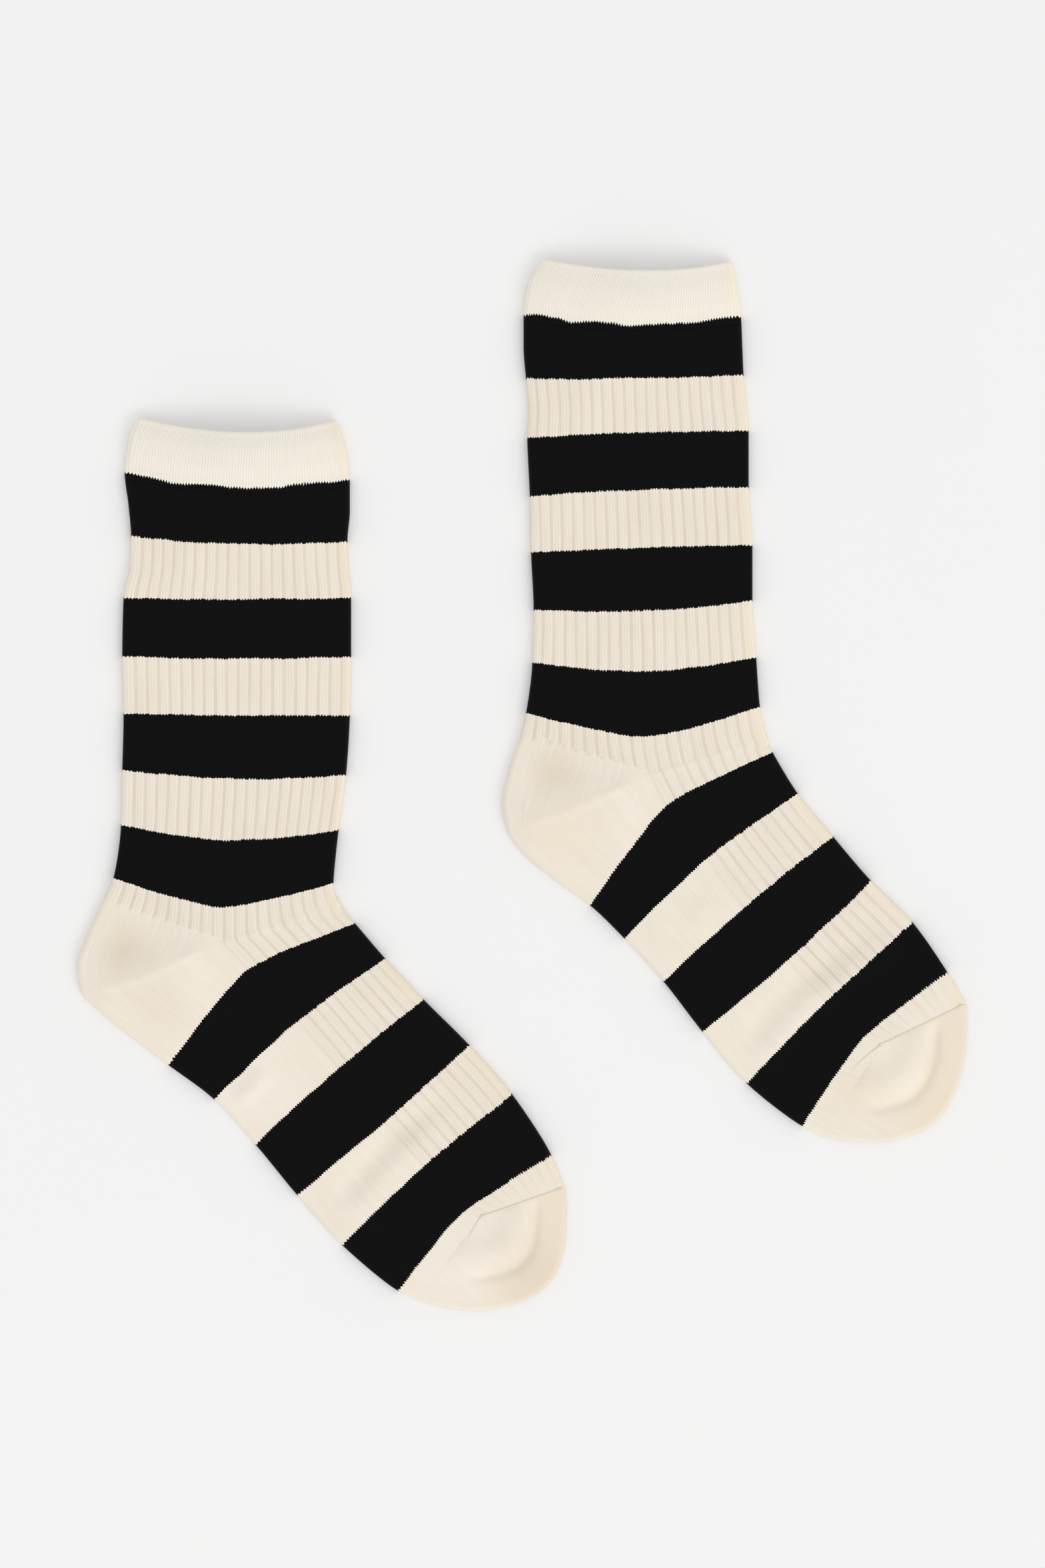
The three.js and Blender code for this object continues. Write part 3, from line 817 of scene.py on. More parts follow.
class KnitStitches(Effect):
    """Plain knitting: rounded wales with a chevron in every course, and a mask of the dips between
    the wales where shade is painted.
    """

    name = "knit_stitches"
    takes = ("Wale", "Course", "Course share", "Place")
    gives = ("Height", "Painted shade between wales", "Uneven")

    def write(self, write: Writer, given: dict[str, Any]) -> dict[str, Any]:
        """Writes the wales, the chevrons, the unevenness from one to the next and the mask for the
        painted shade between the wales.
        """
        m = write.math
        waver = m("MULTIPLY", m("SUBTRACT", write.noise(given["Place"], 240.0), 0.5), 0.5)
        wale = m("ADD", given["Wale"], waver)
        away = m("MULTIPLY", m("PINGPONG", wale, 0.5), 2.0)
        arch = m("SUBTRACT", 1.0, m("MULTIPLY", away, away))
        lean = m("ADD", given["Course"], m("MULTIPLY", away, 0.6))
        chevron = m("MULTIPLY_ADD", m("COSINE", m("MULTIPLY", lean, 2 * math.pi)), 0.5, 0.5)
        middle = write.ease(away, 0.35, 0.0)
        height = m("ADD", m("MULTIPLY", arch, 0.72),
                   m("MULTIPLY", m("MULTIPLY", chevron, given["Course share"]),
                     m("SUBTRACT", 1.0, away)))
        height = m("SUBTRACT", height, m("MULTIPLY", middle, 0.1))
        number = m("FLOOR", m("ADD", given["Wale"], 0.5))
        slow = m("MULTIPLY", given["Course"], 0.035)
        uneven = write.noise(write.vector(m("MULTIPLY", number, 3.7), slow), 1.0, 1.0)
        return {"Height": height, "Painted shade between wales": write.ease(away, 0.5, 1.0), "Uneven": uneven}


class RibGrooveShade(Effect):
    """The sunken wale between two ribs, darkened towards tan as painted shade."""

    name = "rib_groove_shade"
    takes = ("Wale", "Rib share", "Place")
    gives = ("Groove",)

    def write(self, write: Writer, given: dict[str, Any]) -> dict[str, Any]:
        """Writes the groove's painted shade, stronger in some places than in others."""
        m = write.math
        away = m("PINGPONG", given["Wale"], 2.0)
        number = m("ROUND", m("DIVIDE", given["Wale"], 4.0))
        x, y, _ = write.parts(given["Place"])
        patch = write.noise(write.vector(m("MULTIPLY", number, 5.3), m("MULTIPLY", y, 38.0),
                                         m("MULTIPLY", x, 6.0)), 1.0, 2.0)
        strength = m("MULTIPLY_ADD", patch, 1.5, 0.1)
        line = write.ease(away, 0.7, 0.1)
        return {"Groove": m("MULTIPLY", m("MULTIPLY", line, strength), given["Rib share"])}


class BlackBands(Effect):
    """Where the black yarn is knitted in: whole courses, with a toothed edge at every wale."""

    name = "black_bands"
    takes = ("Wale", "Rib share", "Band place", "Tooth", "Waver", "Place")
    gives = ("Black",)
    scale = 480.0                 # mm that the colour ramp spans
    reach = 2.5                   # mm on both sides of an edge over which it is measured

    def __init__(self, edges: tuple[tuple[float, float], ...], side: Side) -> None:
        """Takes where each band starts and ends, in mm along the sock's middle."""
        self.edges = edges
        self.name = f"{side.value}_black_bands"

    def write(self, write: Writer, given: dict[str, Any]) -> dict[str, Any]:
        """Writes how far inside black each point is, then the teeth at every wale."""
        m = write.math
        ramp = write.node("ShaderNodeValToRGB")
        stops = ramp.color_ramp.elements
        wanted: list[tuple[float, float]] = []
        for start, end in self.edges:
            wanted += [(start - self.reach, 0), (start + self.reach, 1),
                       (end - self.reach, 1), (end + self.reach, 0)]
        stops[0].position, stops[1].position = wanted[0][0] / self.scale, wanted[1][0] / self.scale
        stops[0].color, stops[1].color = (0, 0, 0, 1), (1, 1, 1, 1)
        for place, value in wanted[2:]:
            stop = stops.new(place / self.scale)
            stop.color = (value, value, value, 1)
        write.put(m("DIVIDE", given["Band place"], self.scale), ramp.inputs[0])
        inside = m("MULTIPLY", m("SUBTRACT", ramp.outputs[0], 0.5), 2 * self.reach)
        tooth = m("MULTIPLY", m("SUBTRACT", m("PINGPONG", given["Wale"], 0.5), 0.22),
                  given["Tooth"])
        away = m("PINGPONG", given["Wale"], 2.0)
        notch = m("MULTIPLY", m("MULTIPLY", write.ease(away, 0.5, 0.1), 0.3), given["Rib share"])
        rough = m("MULTIPLY", m("SUBTRACT", write.noise(given["Place"], 900.0), 0.5), 0.7)
        slow = m("MULTIPLY", m("SUBTRACT", write.noise(given["Place"], 90.0), 0.5),
                 given["Waver"])
        edge = m("ADD", m("ADD", m("ADD", inside, tooth), slow), m("ADD", notch, rough))
        return {"Black": write.ease(edge, -0.12, 0.12)}


class CottonTone(Effect):
    """The small differences of cotton yarn from place to place, and its fine fuzz."""

    name = "cotton_tone"
    takes = ("Place",)
    gives = ("Cloud", "Fuzz")

    def write(self, write: Writer, given: dict[str, Any]) -> dict[str, Any]:
        """Writes soft clouds a few centimetres across and fuzz of a tenth of a millimetre."""
        return {"Cloud": write.noise(given["Place"], 45.0, 3.0),
                "Fuzz": write.noise(given["Place"], 3200.0, 3.0)}


@dataclass(frozen=True)
class KnitPoint:
    """What a knit material reads at each point of its piece.

    Attributes:
        place: the Object coordinates.
        wale: the wale's number.
        course: the course's number.
        band: how far along the sock it is from the mouth, in mm.
        ribs: the ribs' share of their full height.
    """

    place: Any
    wale: Any
    course: Any
    band: Any
    ribs: Any

    @classmethod
    def read(cls, write: Writer) -> "KnitPoint":
        """Reads them from the piece's coordinates and its knit and bands UV maps."""
        wale, course, _ = write.parts(write.node("ShaderNodeUVMap", uv_map="knit").outputs[0])
        band, ribs, _ = write.parts(write.node("ShaderNodeUVMap", uv_map="bands").outputs[0])
        place = write.node("ShaderNodeTexCoord").outputs["Object"]
        return cls(place, wale, course, band, ribs)


@dataclass(frozen=True)
class KnitFinish:
    """Matt cotton knit in cream and black. Tones are shares of the other yarn at their most;
    several of them are painted shade.
    """

    name: str
    bands: BlackBands
    fine_rib: bool = False        # the cuff's one by one rib
    shade_and_tone_spots: tuple[ToneAndShadeSpot, ...] = ()
    roughness: float = 0.93
    smoother: float = 0.06        # how much less rough the lighter wales are
    specular: float = 0.09
    sheen: float = 0.01
    sheen_roughness: float = 0.5
    relief: float = 0.17          # of the stitches, in mm
    fuzz: float = 0.05            # of the fibres, in mm
    bump: float = 0.85
    cloud: float = 0.5
    shade: tuple[float, float, float] = (0.94, 0.935, 0.93)   # of a cloud
    light_wales: float = 0.3
    # Share of tan painted as shade in the ribs' grooves, and its most:
    groove: float = 0.42
    groove_shade_most: float = 0.6
    # share of the painted warm shade along the front fold
    fold_painted_shade: float = 0.4
    toe_tone: float = 0.6
    welt_tone: float = 0.3
    welt_stitches: float = 3.1    # mm below the mouth, the row that holds the turned welt

    def cream(self, write: Writer, point: KnitPoint, stitches: dict[str, Any],
              cloud: Any) -> bpy.types.NodeSocket:
        """Writes the cream yarn's colour with its tones, several of them painted shade.

        Args:
            write: the material's writer.
            point: what the material reads.
            stitches: the outputs of the stitches' group.
            cloud: the cotton's slow unevenness.

        Returns:
            The colour, as a socket.
        """
        m = write.math
        base = Yarn.WELT if self.fine_rib else Yarn.CREAM
        darker = tuple(c * k for c, k in zip(base.value, self.shade))
        cream = write.mix(m("MULTIPLY", write.ease(cloud, 0.3, 0.75), self.cloud),
                          colour(base), (*darker, 1.0))
        cream = write.mix(m("MULTIPLY", write.ease(stitches["Uneven"], 0.35, 0.75),
                            self.light_wales), cream, colour(Yarn.LIGHT))
        # Painted shade: the dips between the wales are darkened towards tan.
        faint = 0.2 if self.fine_rib else m("MULTIPLY_ADD", point.ribs, 0.07, 0.07)
        cream = write.mix(m("MULTIPLY", stitches["Painted shade between wales"], faint), cream,
                          colour(Yarn.TAN))
        groove = RibGrooveShade().place(write, Wale=point.wale, Rib_share=point.ribs,
                                    Place=point.place)["Groove"]
        # Painted shade in the ribs' grooves, in tan.
        cream = write.mix(m("MINIMUM", m("MULTIPLY", groove, self.groove), self.groove_shade_most),
                          cream, colour(Yarn.TAN))
        # Painted shade: a warmer, yellower tone along the front fold where the knit rounds away.
        front = m("ABSOLUTE", m("SUBTRACT", point.wale, WALES))
        cream = write.mix(m("MULTIPLY", write.ease(front, 6.5, 0.5), self.fold_painted_shade), cream,
                          colour(Yarn.WARM_FOLD_SHADE))
        last = self.bands.edges[-1][1]
        rim = write.ease(point.band, last + PEACH_START, last + PEACH_FULL)
        cream = write.mix(m("MULTIPLY", rim, self.toe_tone), cream, colour(Yarn.PEACH))
        # Patches of other tone; the darker ones are painted shade.
        for spot in self.shade_and_tone_spots:
            near = write.near(point.place, spot.at, spot.reach)
            cream = write.mix(m("MULTIPLY", near, spot.share), cream, colour(spot.yarn))
        if self.fine_rib:
            off = m("ABSOLUTE", m("SUBTRACT", point.band, self.welt_stitches))
            row = m("MULTIPLY", write.ease(off, 0.55, 0.15),
                    write.ease(stitches["Height"], 0.7, 0.3))
            patchy = write.ease(write.noise(point.place, 130.0), 0.45, 0.65)
            cream = write.mix(m("MULTIPLY", m("MULTIPLY", row, patchy), self.welt_tone), cream,
                              colour(Yarn.TAN))
        return cream

    def normal(self, write: Writer, point: KnitPoint, stitches: Any, black: Any,
               fuzz: Any) -> bpy.types.NodeSocket:
        """Writes the bump of stitches and fuzz, which is fainter in the black yarn.

        Args:
            write: the material's writer.
            point: what the material reads.
            stitches: the stitches' height.
            black: 1 in the black bands.
            fuzz: the fibres' height.

        Returns:
            The normal, as a socket.
        """
        m = write.math
        full = 0.85 if self.fine_rib else m("MULTIPLY_ADD", point.ribs, 0.6, 0.4)
        plain = m("MULTIPLY", m("SUBTRACT", 1.0, m("MULTIPLY", black, 0.6)), full)
        height = m("MULTIPLY", m("MULTIPLY", stitches, plain), self.relief * MM)
        height = m("ADD", height, m("MULTIPLY", fuzz, self.fuzz * MM))
        bump = write.node("ShaderNodeBump")
        write.put(self.bump, bump.inputs["Strength"])
        write.put(1.0, bump.inputs["Distance"])
        write.put(height, bump.inputs["Height"])
        return bump.outputs[0]

    def material(self) -> bpy.types.Material:
        """Builds the material.

        Returns:
            A material that reads the piece's own knit and bands UV maps.
        """
        made = bpy.data.materials.new(self.name)
        made.use_nodes = True
        write = Writer(made.node_tree)
        shader = made.node_tree.nodes["Principled BSDF"]
        m = write.math
        point = KnitPoint.read(write)
        stitches = KnitStitches().place(write, Wale=point.wale, Course=point.course,
                                        Place=point.place,
                                        Course_share=0.08 if self.fine_rib else 0.3)
        black = self.bands.place(write, Wale=point.wale, Rib_share=point.ribs,
                                 Band_place=point.band, Place=point.place,
                                 Tooth=1.8 if self.fine_rib else 1.2,
                                 Waver=3.6 if self.fine_rib else 1.4)["Black"]
        tone = CottonTone().place(write, Place=point.place)
        cream = self.cream(write, point, stitches, tone["Cloud"])
        write.put(write.mix(black, cream, colour(Yarn.BLACK)), shader.inputs["Base Color"])
        write.put(self.normal(write, point, stitches["Height"], black, tone["Fuzz"]),
                  shader.inputs["Normal"])
        write.put(m("SUBTRACT", self.roughness, m("MULTIPLY", stitches["Uneven"], self.smoother)),
                  shader.inputs["Roughness"])
        shader.inputs["Specular IOR Level"].default_value = self.specular
        shader.inputs["Sheen Weight"].default_value = self.sheen
        shader.inputs["Sheen Roughness"].default_value = self.sheen_roughness
        return made


@dataclass(frozen=True)
class YarnFinish:
    """A single twisted yarn of one colour."""

    name: str
    yarn: Yarn
    twist: float = 1900.0         # turns of the bump in a metre
    twist_depth: float = 0.0001
    shade: float = 0.86           # of the darker stretches
    roughness: float = 0.9
    specular: float = 0.15

    def material(self) -> bpy.types.Material:
        """Builds the material: the yarn's colour, uneven along it, over a twisted bump."""
        made = bpy.data.materials.new(self.name)
        made.use_nodes = True
        write = Writer(made.node_tree)
        shader = made.node_tree.nodes["Principled BSDF"]
        place = write.node("ShaderNodeTexCoord").outputs["Object"]
        tone = CottonTone().place(write, Place=place)
        r, g, b, a = colour(self.yarn)
        darker = (r * self.shade, g * self.shade, b * self.shade, a)
        write.put(write.mix(tone["Cloud"], darker, (r, g, b, a)), shader.inputs["Base Color"])
        wave = write.node("ShaderNodeTexWave", bands_direction="DIAGONAL")
        write.put(place, wave.inputs["Vector"])
        write.put(self.twist, wave.inputs["Scale"])
        bump = write.node("ShaderNodeBump")
        write.put(0.5, bump.inputs["Strength"])
        write.put(self.twist_depth, bump.inputs["Distance"])
        write.put(wave.outputs[1], bump.inputs["Height"])
        write.put(bump.outputs[0], shader.inputs["Normal"])
        shader.inputs["Roughness"].default_value = self.roughness
        shader.inputs["Specular IOR Level"].default_value = self.specular
        return made


def stripes_of(form: SockForm) -> BlackBands:
    """The black bands of one sock, measured along its middle."""
    edges = tuple((form.band_of(start), form.band_of(end)) for start, end in BLACK_BANDS)
    return BlackBands(edges, form.side)


@dataclass
class Cuff:
    """The welt at the top: turned in, lying double, with a fine one by one rib."""

    form: SockForm
    row_step: float = 1.1
    wale_steps: int = 4           # columns to a wale on the upper face
    rim_steps: int = 6
    rib_depth: float = 0.12
    corners: tuple[float, float] = (2.8, 1.0)   # radius of the mouth's, at back and front
    corner_fade: float = 9.0      # mm from the mouth over which they straighten
    narrow: tuple[float, float] = (1.45, 2.0)   # rows between which it thins to the leg
    leg_ribs: tuple[float, float] = (1.75, 2.05)   # rows between which the leg's ribs set in

    def wales(self) -> Array:
        """Wales of the columns, all the way round."""
        top = np.arange(0, WALES, 1 / self.wale_steps)
        bottom = np.arange(WALES, 2 * WALES, 0.5)
        return np.concatenate([top, bottom])

    def heights(self, at: Array) -> Array:
        """Height of the side fold, which narrows to the leg's over the last courses."""
        narrow = smoothstep(*self.narrow, at)
        corner = (CORNER_HEIGHT - WELT_SIDE_HEIGHT) * (1 - smoothstep(0, 1.2, at))
        return WELT_SIDE_HEIGHT + (CUFF_END_HEIGHT - WELT_SIDE_HEIGHT) * narrow + corner

    def build(self) -> bpy.types.Object:
        """Builds the welt's two layers and the turned edge at the mouth.

        Returns:
            The closed piece, with its mouth open between the two faces.
        """
        form = self.form
        radius = WELT_WALL / 2
        first = form.place_of(radius)
        last = form.place_of(form.band_of(LEG_START) + CUFF_OVERLAP)
        at = form.places(first, last, self.row_step)
        wales = self.wales()
        ring = Ring(form, at, wales, self.heights(at), ribs_show=False)
        narrow = smoothstep(*self.narrow, at)
        wall = WELT_WALL + (WALL + 0.1 - WELT_WALL) * narrow
        wall = np.minimum(wall, self.heights(at) / 2 - 0.2)
        outer, inner = ring.outside(), ring.inside(wall)
        away = np.abs((wales + 0.5) % 1 - 0.5)
        rib = self.rib_depth * (1 - smoothstep(0, 0.42, 0.5 - away))[None, :]
        rib = rib * smoothstep(first, first + 0.25, at)[:, None] * (1 - 0.5 * narrow[:, None])
        side = np.where(ring.above, 1.0, -1.0) * ring.fold
        outer[..., 2] -= rib * side
        leg_ribs = smoothstep(*self.leg_ribs, at)[:, None] * ring.fold * ring.above
        outer[..., 2] += RIB_RISE * leg_ribs * (1 - BLACK_RELIEF * ring.groove())

        tangent = (ring.courses.plan(np.minimum(ring.t + 0.01, 1))
                   - ring.courses.plan(np.maximum(ring.t - 0.01, 0)))[0]
        tangent /= np.linalg.norm(tangent, axis=-1, keepdims=True)
        forward = np.stack([tangent[:, 1], -tangent[:, 0]], -1)
        width = np.linalg.norm(ring.courses.front - ring.courses.back, axis=1)[:, None]
        corner = np.where(ring.t < 0.5, *self.corners)
        edge = np.clip(np.minimum(ring.t, 1 - ring.t) * width / corner, 0, 1)
        back = corner * (1 - np.sqrt(1 - (1 - edge) ** 2))
        back = back * (1 - smoothstep(0, self.corner_fade, form.band_place(at) - radius))[:, None]
        outer[..., :2] += forward * back[..., None]
        inner[..., :2] += forward * back[..., None]
        rims = []
        for angle in np.linspace(0, np.pi, self.rim_steps + 1)[1:-1]:
            share = (1 - math.cos(angle)) / 2
            rim = outer[0] * (1 - share) + inner[0] * share
            rim[:, :2] -= forward * radius * math.sin(angle)
            rims.append(rim)
        loops = np.concatenate([inner[::-1], np.array(rims[::-1]), outer], 0)
        loops = np.concatenate([loops, inner[-1:]], 0)

        mesh = KnitMesh()
        number = mesh.add(loops[:-1])
        number = np.concatenate([number, number[:1]], 0)
        number = np.concatenate([number, number[:, :1]], 1)
        band = form.band_place(at)
        inner_band = radius * 2 - band[::-1]
        rim_band = np.linspace(0, radius, len(rims) + 2)[1:-1]
        all_band = np.concatenate([inner_band, rim_band, band, band[-1:]])
        wale = np.concatenate([wales, [2 * WALES]])
        knit = np.stack(np.broadcast_arrays(wale[None, :], all_band[:, None] / COURSE_PITCH), -1)
        bands = np.zeros((len(all_band), len(wale), 2))
        bands[..., 0] = all_band[:, None]
        mesh.grid(number, knit, bands)
        return mesh.made(f"{form.side.value}_cuff_knit")

    def dress(self, piece: bpy.types.Object, bands: BlackBands) -> None:
        """Gives the welt its knit, hangs it under the root body and hides the CAD cuff that it
        stands in for.
        """
        side = self.form.side.value
        piece.data.materials.append(KnitFinish(f"{side}_welt_rib", bands, True).material())
        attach(piece, "root")
        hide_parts(f"{side}_cuff")


@dataclass
class SockBody:
    """Leg, heel pocket, foot and toe pocket, knitted in one."""

    form: SockForm
    row_step: float = 1.7
    above: tuple[float, ...] = (-1.4, -0.85, -0.4, 0.0, 0.4, 0.85, 1.4, 2.0)
    below: tuple[float, ...] = (-0.9, 0.0, 0.9, 2.0)
    inside_every: int = 4         # rows of the outside to one of the inside
    toe_turns: int = 48
    start_below: float = 0.7      # mm from the leg's first course to the mesh's first row
    seam_near: float = 23.7       # row from which the mesh's rows lie closest
    seam_rows: int = 8

    def places(self) -> Array:
        """Places of the mesh's rows, closest beside the toe seam."""
        form = self.form
        start = form.place_of(form.band_of(LEG_START) + self.start_below)
        return np.concatenate([
            form.places(start, HEEL_START, self.row_step)[:-1],
            form.places(HEEL_START, GORE, self.row_step)[:-1],
            form.places(GORE, SOLE_START, self.row_step)[:-1],
            form.places(SOLE_START, self.seam_near, self.row_step)[:-1],
            np.linspace(self.seam_near, TOE_START, self.seam_rows),
        ])

    def build(self) -> bpy.types.Object:
        """Builds the outside, the inside, the toe pocket and the hidden top edge.

        Returns:
            The closed piece.
        """
        form = self.form
        at = self.places()
        wales = round_wales(self.above, self.below)
        band = form.band_place(at)
        below = band - band[0] + self.start_below
        tucked = TUCK * (1 - smoothstep(CUFF_OVERLAP - 1, CUFF_OVERLAP + 0.1, below))
        ring = Ring(form, at, wales, np.full(len(at), SIDE_HEIGHT), draw_in=tucked)
        outer = ring.outside()
        inner_at = np.append(at[:-1:self.inside_every], at[-1])
        inner_wales = round_wales((0.0, 2.0), (0.0,))
        inner_ring = Ring(form, inner_at, inner_wales, np.full(len(inner_at), SIDE_HEIGHT))
        inner = inner_ring.inside(np.full(len(inner_at), WALL))

        mesh = KnitMesh()
        number = mesh.add(outer)
        closed = np.concatenate([number, number[:, :1]], 1)
        knit = self.knit_corners(at, wales, outer)
        bands = np.stack([ring.band(), ring.rib_share()], -1)
        bands = np.concatenate([bands, bands[:, :1]], 1)
        mesh.grid(closed, knit, bands)

        inner_number = mesh.add(inner)
        inner_closed = np.concatenate([inner_number, inner_number[:, :1]], 1)
        inner_band = form.band_place(inner_at)
        wale = np.append(inner_wales, 2 * WALES)
        course = inner_band[:, None] / COURSE_PITCH
        inner_knit = np.stack(np.broadcast_arrays(wale[None, :], course), -1)
        inner_bands = np.zeros(inner_knit.shape)
        inner_bands[..., 0] = inner_band[:, None]
        mesh.grid(inner_closed, inner_knit, inner_bands, flip=True)
        mesh.zip(number[0], inner_number[0], np.append(wales, 2 * WALES), wale, float(band[0]))
        self.add_toe(mesh, wales, number[-1], 1.0)
        self.add_toe(mesh, inner_wales, inner_number[-1], -1.0)
        return mesh.made(f"{form.side.value}_sock_knit")

    def heel_lines(self) -> tuple[Array, Array, Array]:
        """The gore's end and the heel's first and last courses, out from it, in mm."""
        rows = self.form.rows
        apex = np.array(rows[GORE].mid, float)
        upper = np.array(rows[HEEL_START].back, float) - np.array(rows[HEEL_START].mid, float)
        lower = np.array(rows[SOLE_START].back, float) - np.array(rows[SOLE_START].mid, float)
        return apex, upper, lower

    def knit_corners(self, at: Array, wales: Array, outer: Array) -> Array:
        """Wale and course at the corners of every quad of the outside.

        The back half has a heel's courses more than the front half, so each half counts its
        own, and on the heel the wales run straight to the gore from both sides.

        Args:
            at: places of the rows.
            wales: wales of the columns.
            outer: the outer surface's points in mm.

        Returns:
            Rows by columns by four corners by wale and course.
        """
        form = self.form
        band = form.band_place(at)
        front_course = band / COURSE_PITCH
        knots, back_run = form.ruler(["back"])
        heel = np.interp([HEEL_START, SOLE_START], knots, back_run)
        more = np.interp(at, knots, back_run) - heel[0]
        extra = round((heel[1] - heel[0]) / COURSE_PITCH)
        grown = np.clip(more / (heel[1] - heel[0]), 0, 1) * extra
        back_course = front_course + grown
        wale = np.append(wales, 2 * WALES)
        points = np.concatenate([outer, outer[:, :1]], 1)[..., :2]
        regular = [np.stack(np.broadcast_arrays(wale[None, :], c[:, None]), -1)
                   for c in (front_course, back_course)]
        apex, upper, lower = self.heel_lines()
        flat_wale = np.where(wale <= WALES, wale, 2 * WALES - wale)[None, :]
        sign = np.where(wale <= WALES, 1, -1)[None, :]
        planar = []
        for line, start in ((upper, front_course[at <= HEEL_START][-1]),
                            (lower, front_course[at <= HEEL_START][-1] + extra + 6)):
            length = float(np.hypot(*line))
            unit = line / length
            across = (points - apex) @ unit
            down = (points - apex) @ np.array([-unit[1], unit[0]])
            straight = WALES / 2 * (1 - across / length)
            mixed = smoothstep(2.0, 9.0, flat_wale)
            w = straight * mixed + flat_wale * (1 - mixed)
            w = np.where(sign > 0, w, 2 * WALES - w)
            planar.append(np.stack(np.broadcast_arrays(w, start + down / COURSE_PITCH), -1))
        made = quad_corners(regular[0])
        centre_wale = (wale[:-1] + wale[1:]) / 2
        in_back = (np.minimum(centre_wale, 2 * WALES - centre_wale) < WALES / 2)[None, :]
        centre_at = ((at[:-1] + at[1:]) / 2)[:, None]
        for chosen, values in (
            (in_back & (centre_at > HEEL_START), regular[1]),
            (in_back & (centre_at > HEEL_START) & (centre_at < GORE), planar[0]),
            (in_back & (centre_at > GORE) & (centre_at < SOLE_START), planar[1]),
        ):
            made = np.where(chosen[..., None, None], quad_corners(values), made)
        return made

    def toe_points(self, wales: Array, side_sign: float) -> Array:
        """Points of the toe's half courses between the sole's edge and the seam.

        Args:
            wales: wales of a half course, 42 in the middle of the upper face down to -42.
            side_sign: 1 for the outer surface and -1 for the inner one.

        Returns:
            Half courses by points, in mm.
        """
        form = self.form
        start = form.courses(np.array([float(TOE_START)]))
        middle = start.mid[0]
        turn = np.linspace(0, 1, self.toe_turns + 1)[1:-1]
        edge = points_through(form.toe.edge, turn * (len(form.toe.edge) - 1))
        share = 1 - np.abs(wales) / (WALES / 2)
        above = (wales >= 0)[None, :]
        inset = SIDE_HEIGHT / 2 / np.linalg.norm(edge - middle, axis=1)[:, None]
        out = np.broadcast_to(share, (len(turn), len(wales)))
        angle = np.clip((1 - out) / inset, 0, 1) * np.pi / 2
        fold = np.sin(angle)
        out = np.where(1 - out < inset, 1 - inset * (1 - np.cos(angle)), out)
        if side_sign < 0:
            out = np.minimum(out, 1 - inset)
        plan = middle + (edge - middle)[:, None] * out[..., None]
        lift = start.lift[0] * np.cos(np.pi / 2 * out) + form.toe.relief(out, turn[:, None]) * fold
        for crease in form.creases:
            lift = lift + crease.rise(plan) * fold
        upper = SIDE_HEIGHT * (FOLD_REST + (1 - FOLD_REST) * fold) + lift
        lower = SIDE_HEIGHT * FOLD_REST * (1 - fold)
        if side_sign < 0:
            top, bottom = upper - WALL, np.full_like(upper, WALL)
            centre = (top + bottom) / 2
            z = np.where(above, top, bottom) * fold + centre * (1 - fold)
        else:
            z = np.where(above, upper, lower)
        return np.concatenate([plan, z[..., None]], -1)

    def add_toe(self, mesh: KnitMesh, wales: Array, last: Array, side_sign: float) -> None:
        """Closes one surface with the toe pocket, welded to its last row.

        Args:
            mesh: the mesh to add to.
            wales: wales of the surface's columns.
            last: point numbers of its last row.
            side_sign: 1 for the outer surface and -1 for the inner one.
        """
        half = WALES / 2
        slack = 1e-6
        signed = np.where(wales > 1.5 * WALES - slack, wales - 2 * WALES, wales)
        to_front = (wales >= half - slack) & (wales <= 1.5 * WALES + slack)
        mirror = np.where(to_front, WALES - wales, np.inf)
        back = [k for k in np.argsort(-signed, kind="stable") if abs(signed[k]) <= half + slack]
        front = [k for k in np.argsort(-mirror, kind="stable") if mirror[k] < np.inf]
        flat = signed[back]
        body = self.toe_points(flat[1:-1], side_sign)
        added = mesh.add(body)
        ends = np.broadcast_to(last[[back[0], back[-1]]], (len(added), 2))
        rows = np.concatenate([
            last[back][None, :],
            np.concatenate([ends[:, :1], added, ends[:, 1:]], 1),
            last[front][None, :],
        ])
        all_points = np.concatenate(mesh.points)[rows][..., :2]
        middle = all_points[0, 0]
        to_sole = all_points[0, np.argmin(np.abs(flat))] - middle
        to_seam = all_points[-1, np.argmin(np.abs(flat))] - middle
        turns = len(rows) - 1
        corner_sets = []
        band = self.form.band_of(TOE_START)
        for line, normal_sign in ((to_sole, 1.0), (to_seam, -1.0)):
            unit = line / np.hypot(*line)
            across = (all_points - middle) @ unit / np.hypot(*line)
            down = (all_points - middle) @ np.array([-unit[1], unit[0]]) * normal_sign
            wale = half * (1 - across)
            wale = np.where(flat[None, :] < 0, 2 * WALES - wale, wale)
            corner_sets.append(np.stack([wale, (band + down) / COURSE_PITCH], -1))
        first_half = (np.arange(turns) < turns / 2)[:, None, None, None]
        knit = np.where(first_half, *(quad_corners(values) for values in corner_sets))
        bands = np.zeros((*rows.shape, 2))
        out = 1 - np.abs(flat)[None, :] / half
        turn = np.linspace(0, 1, len(rows))[:, None]
        rim = smoothstep(0.4, 0.85, out) * smoothstep(0.05, 0.6, turn)
        bands[..., 0] = band + PEACH_FULL * rim
        mesh.grid(rows, knit, bands, flip=side_sign > 0)

    def dress(self, piece: bpy.types.Object, bands: BlackBands) -> None:
        """Gives the knit its finish, hangs it under the root body and hides the CAD leg, foot and
        toe that it stands in for.
        """
        side = self.form.side.value
        finish = KnitFinish(f"{side}_rib_and_plain_knit", bands, shade_and_tone_spots=self.form.shade_and_tone_spots)
        piece.data.materials.append(finish.material())
        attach(piece, "root")
        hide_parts(f"{side}_leg", f"{side}_foot", f"{side}_toe")


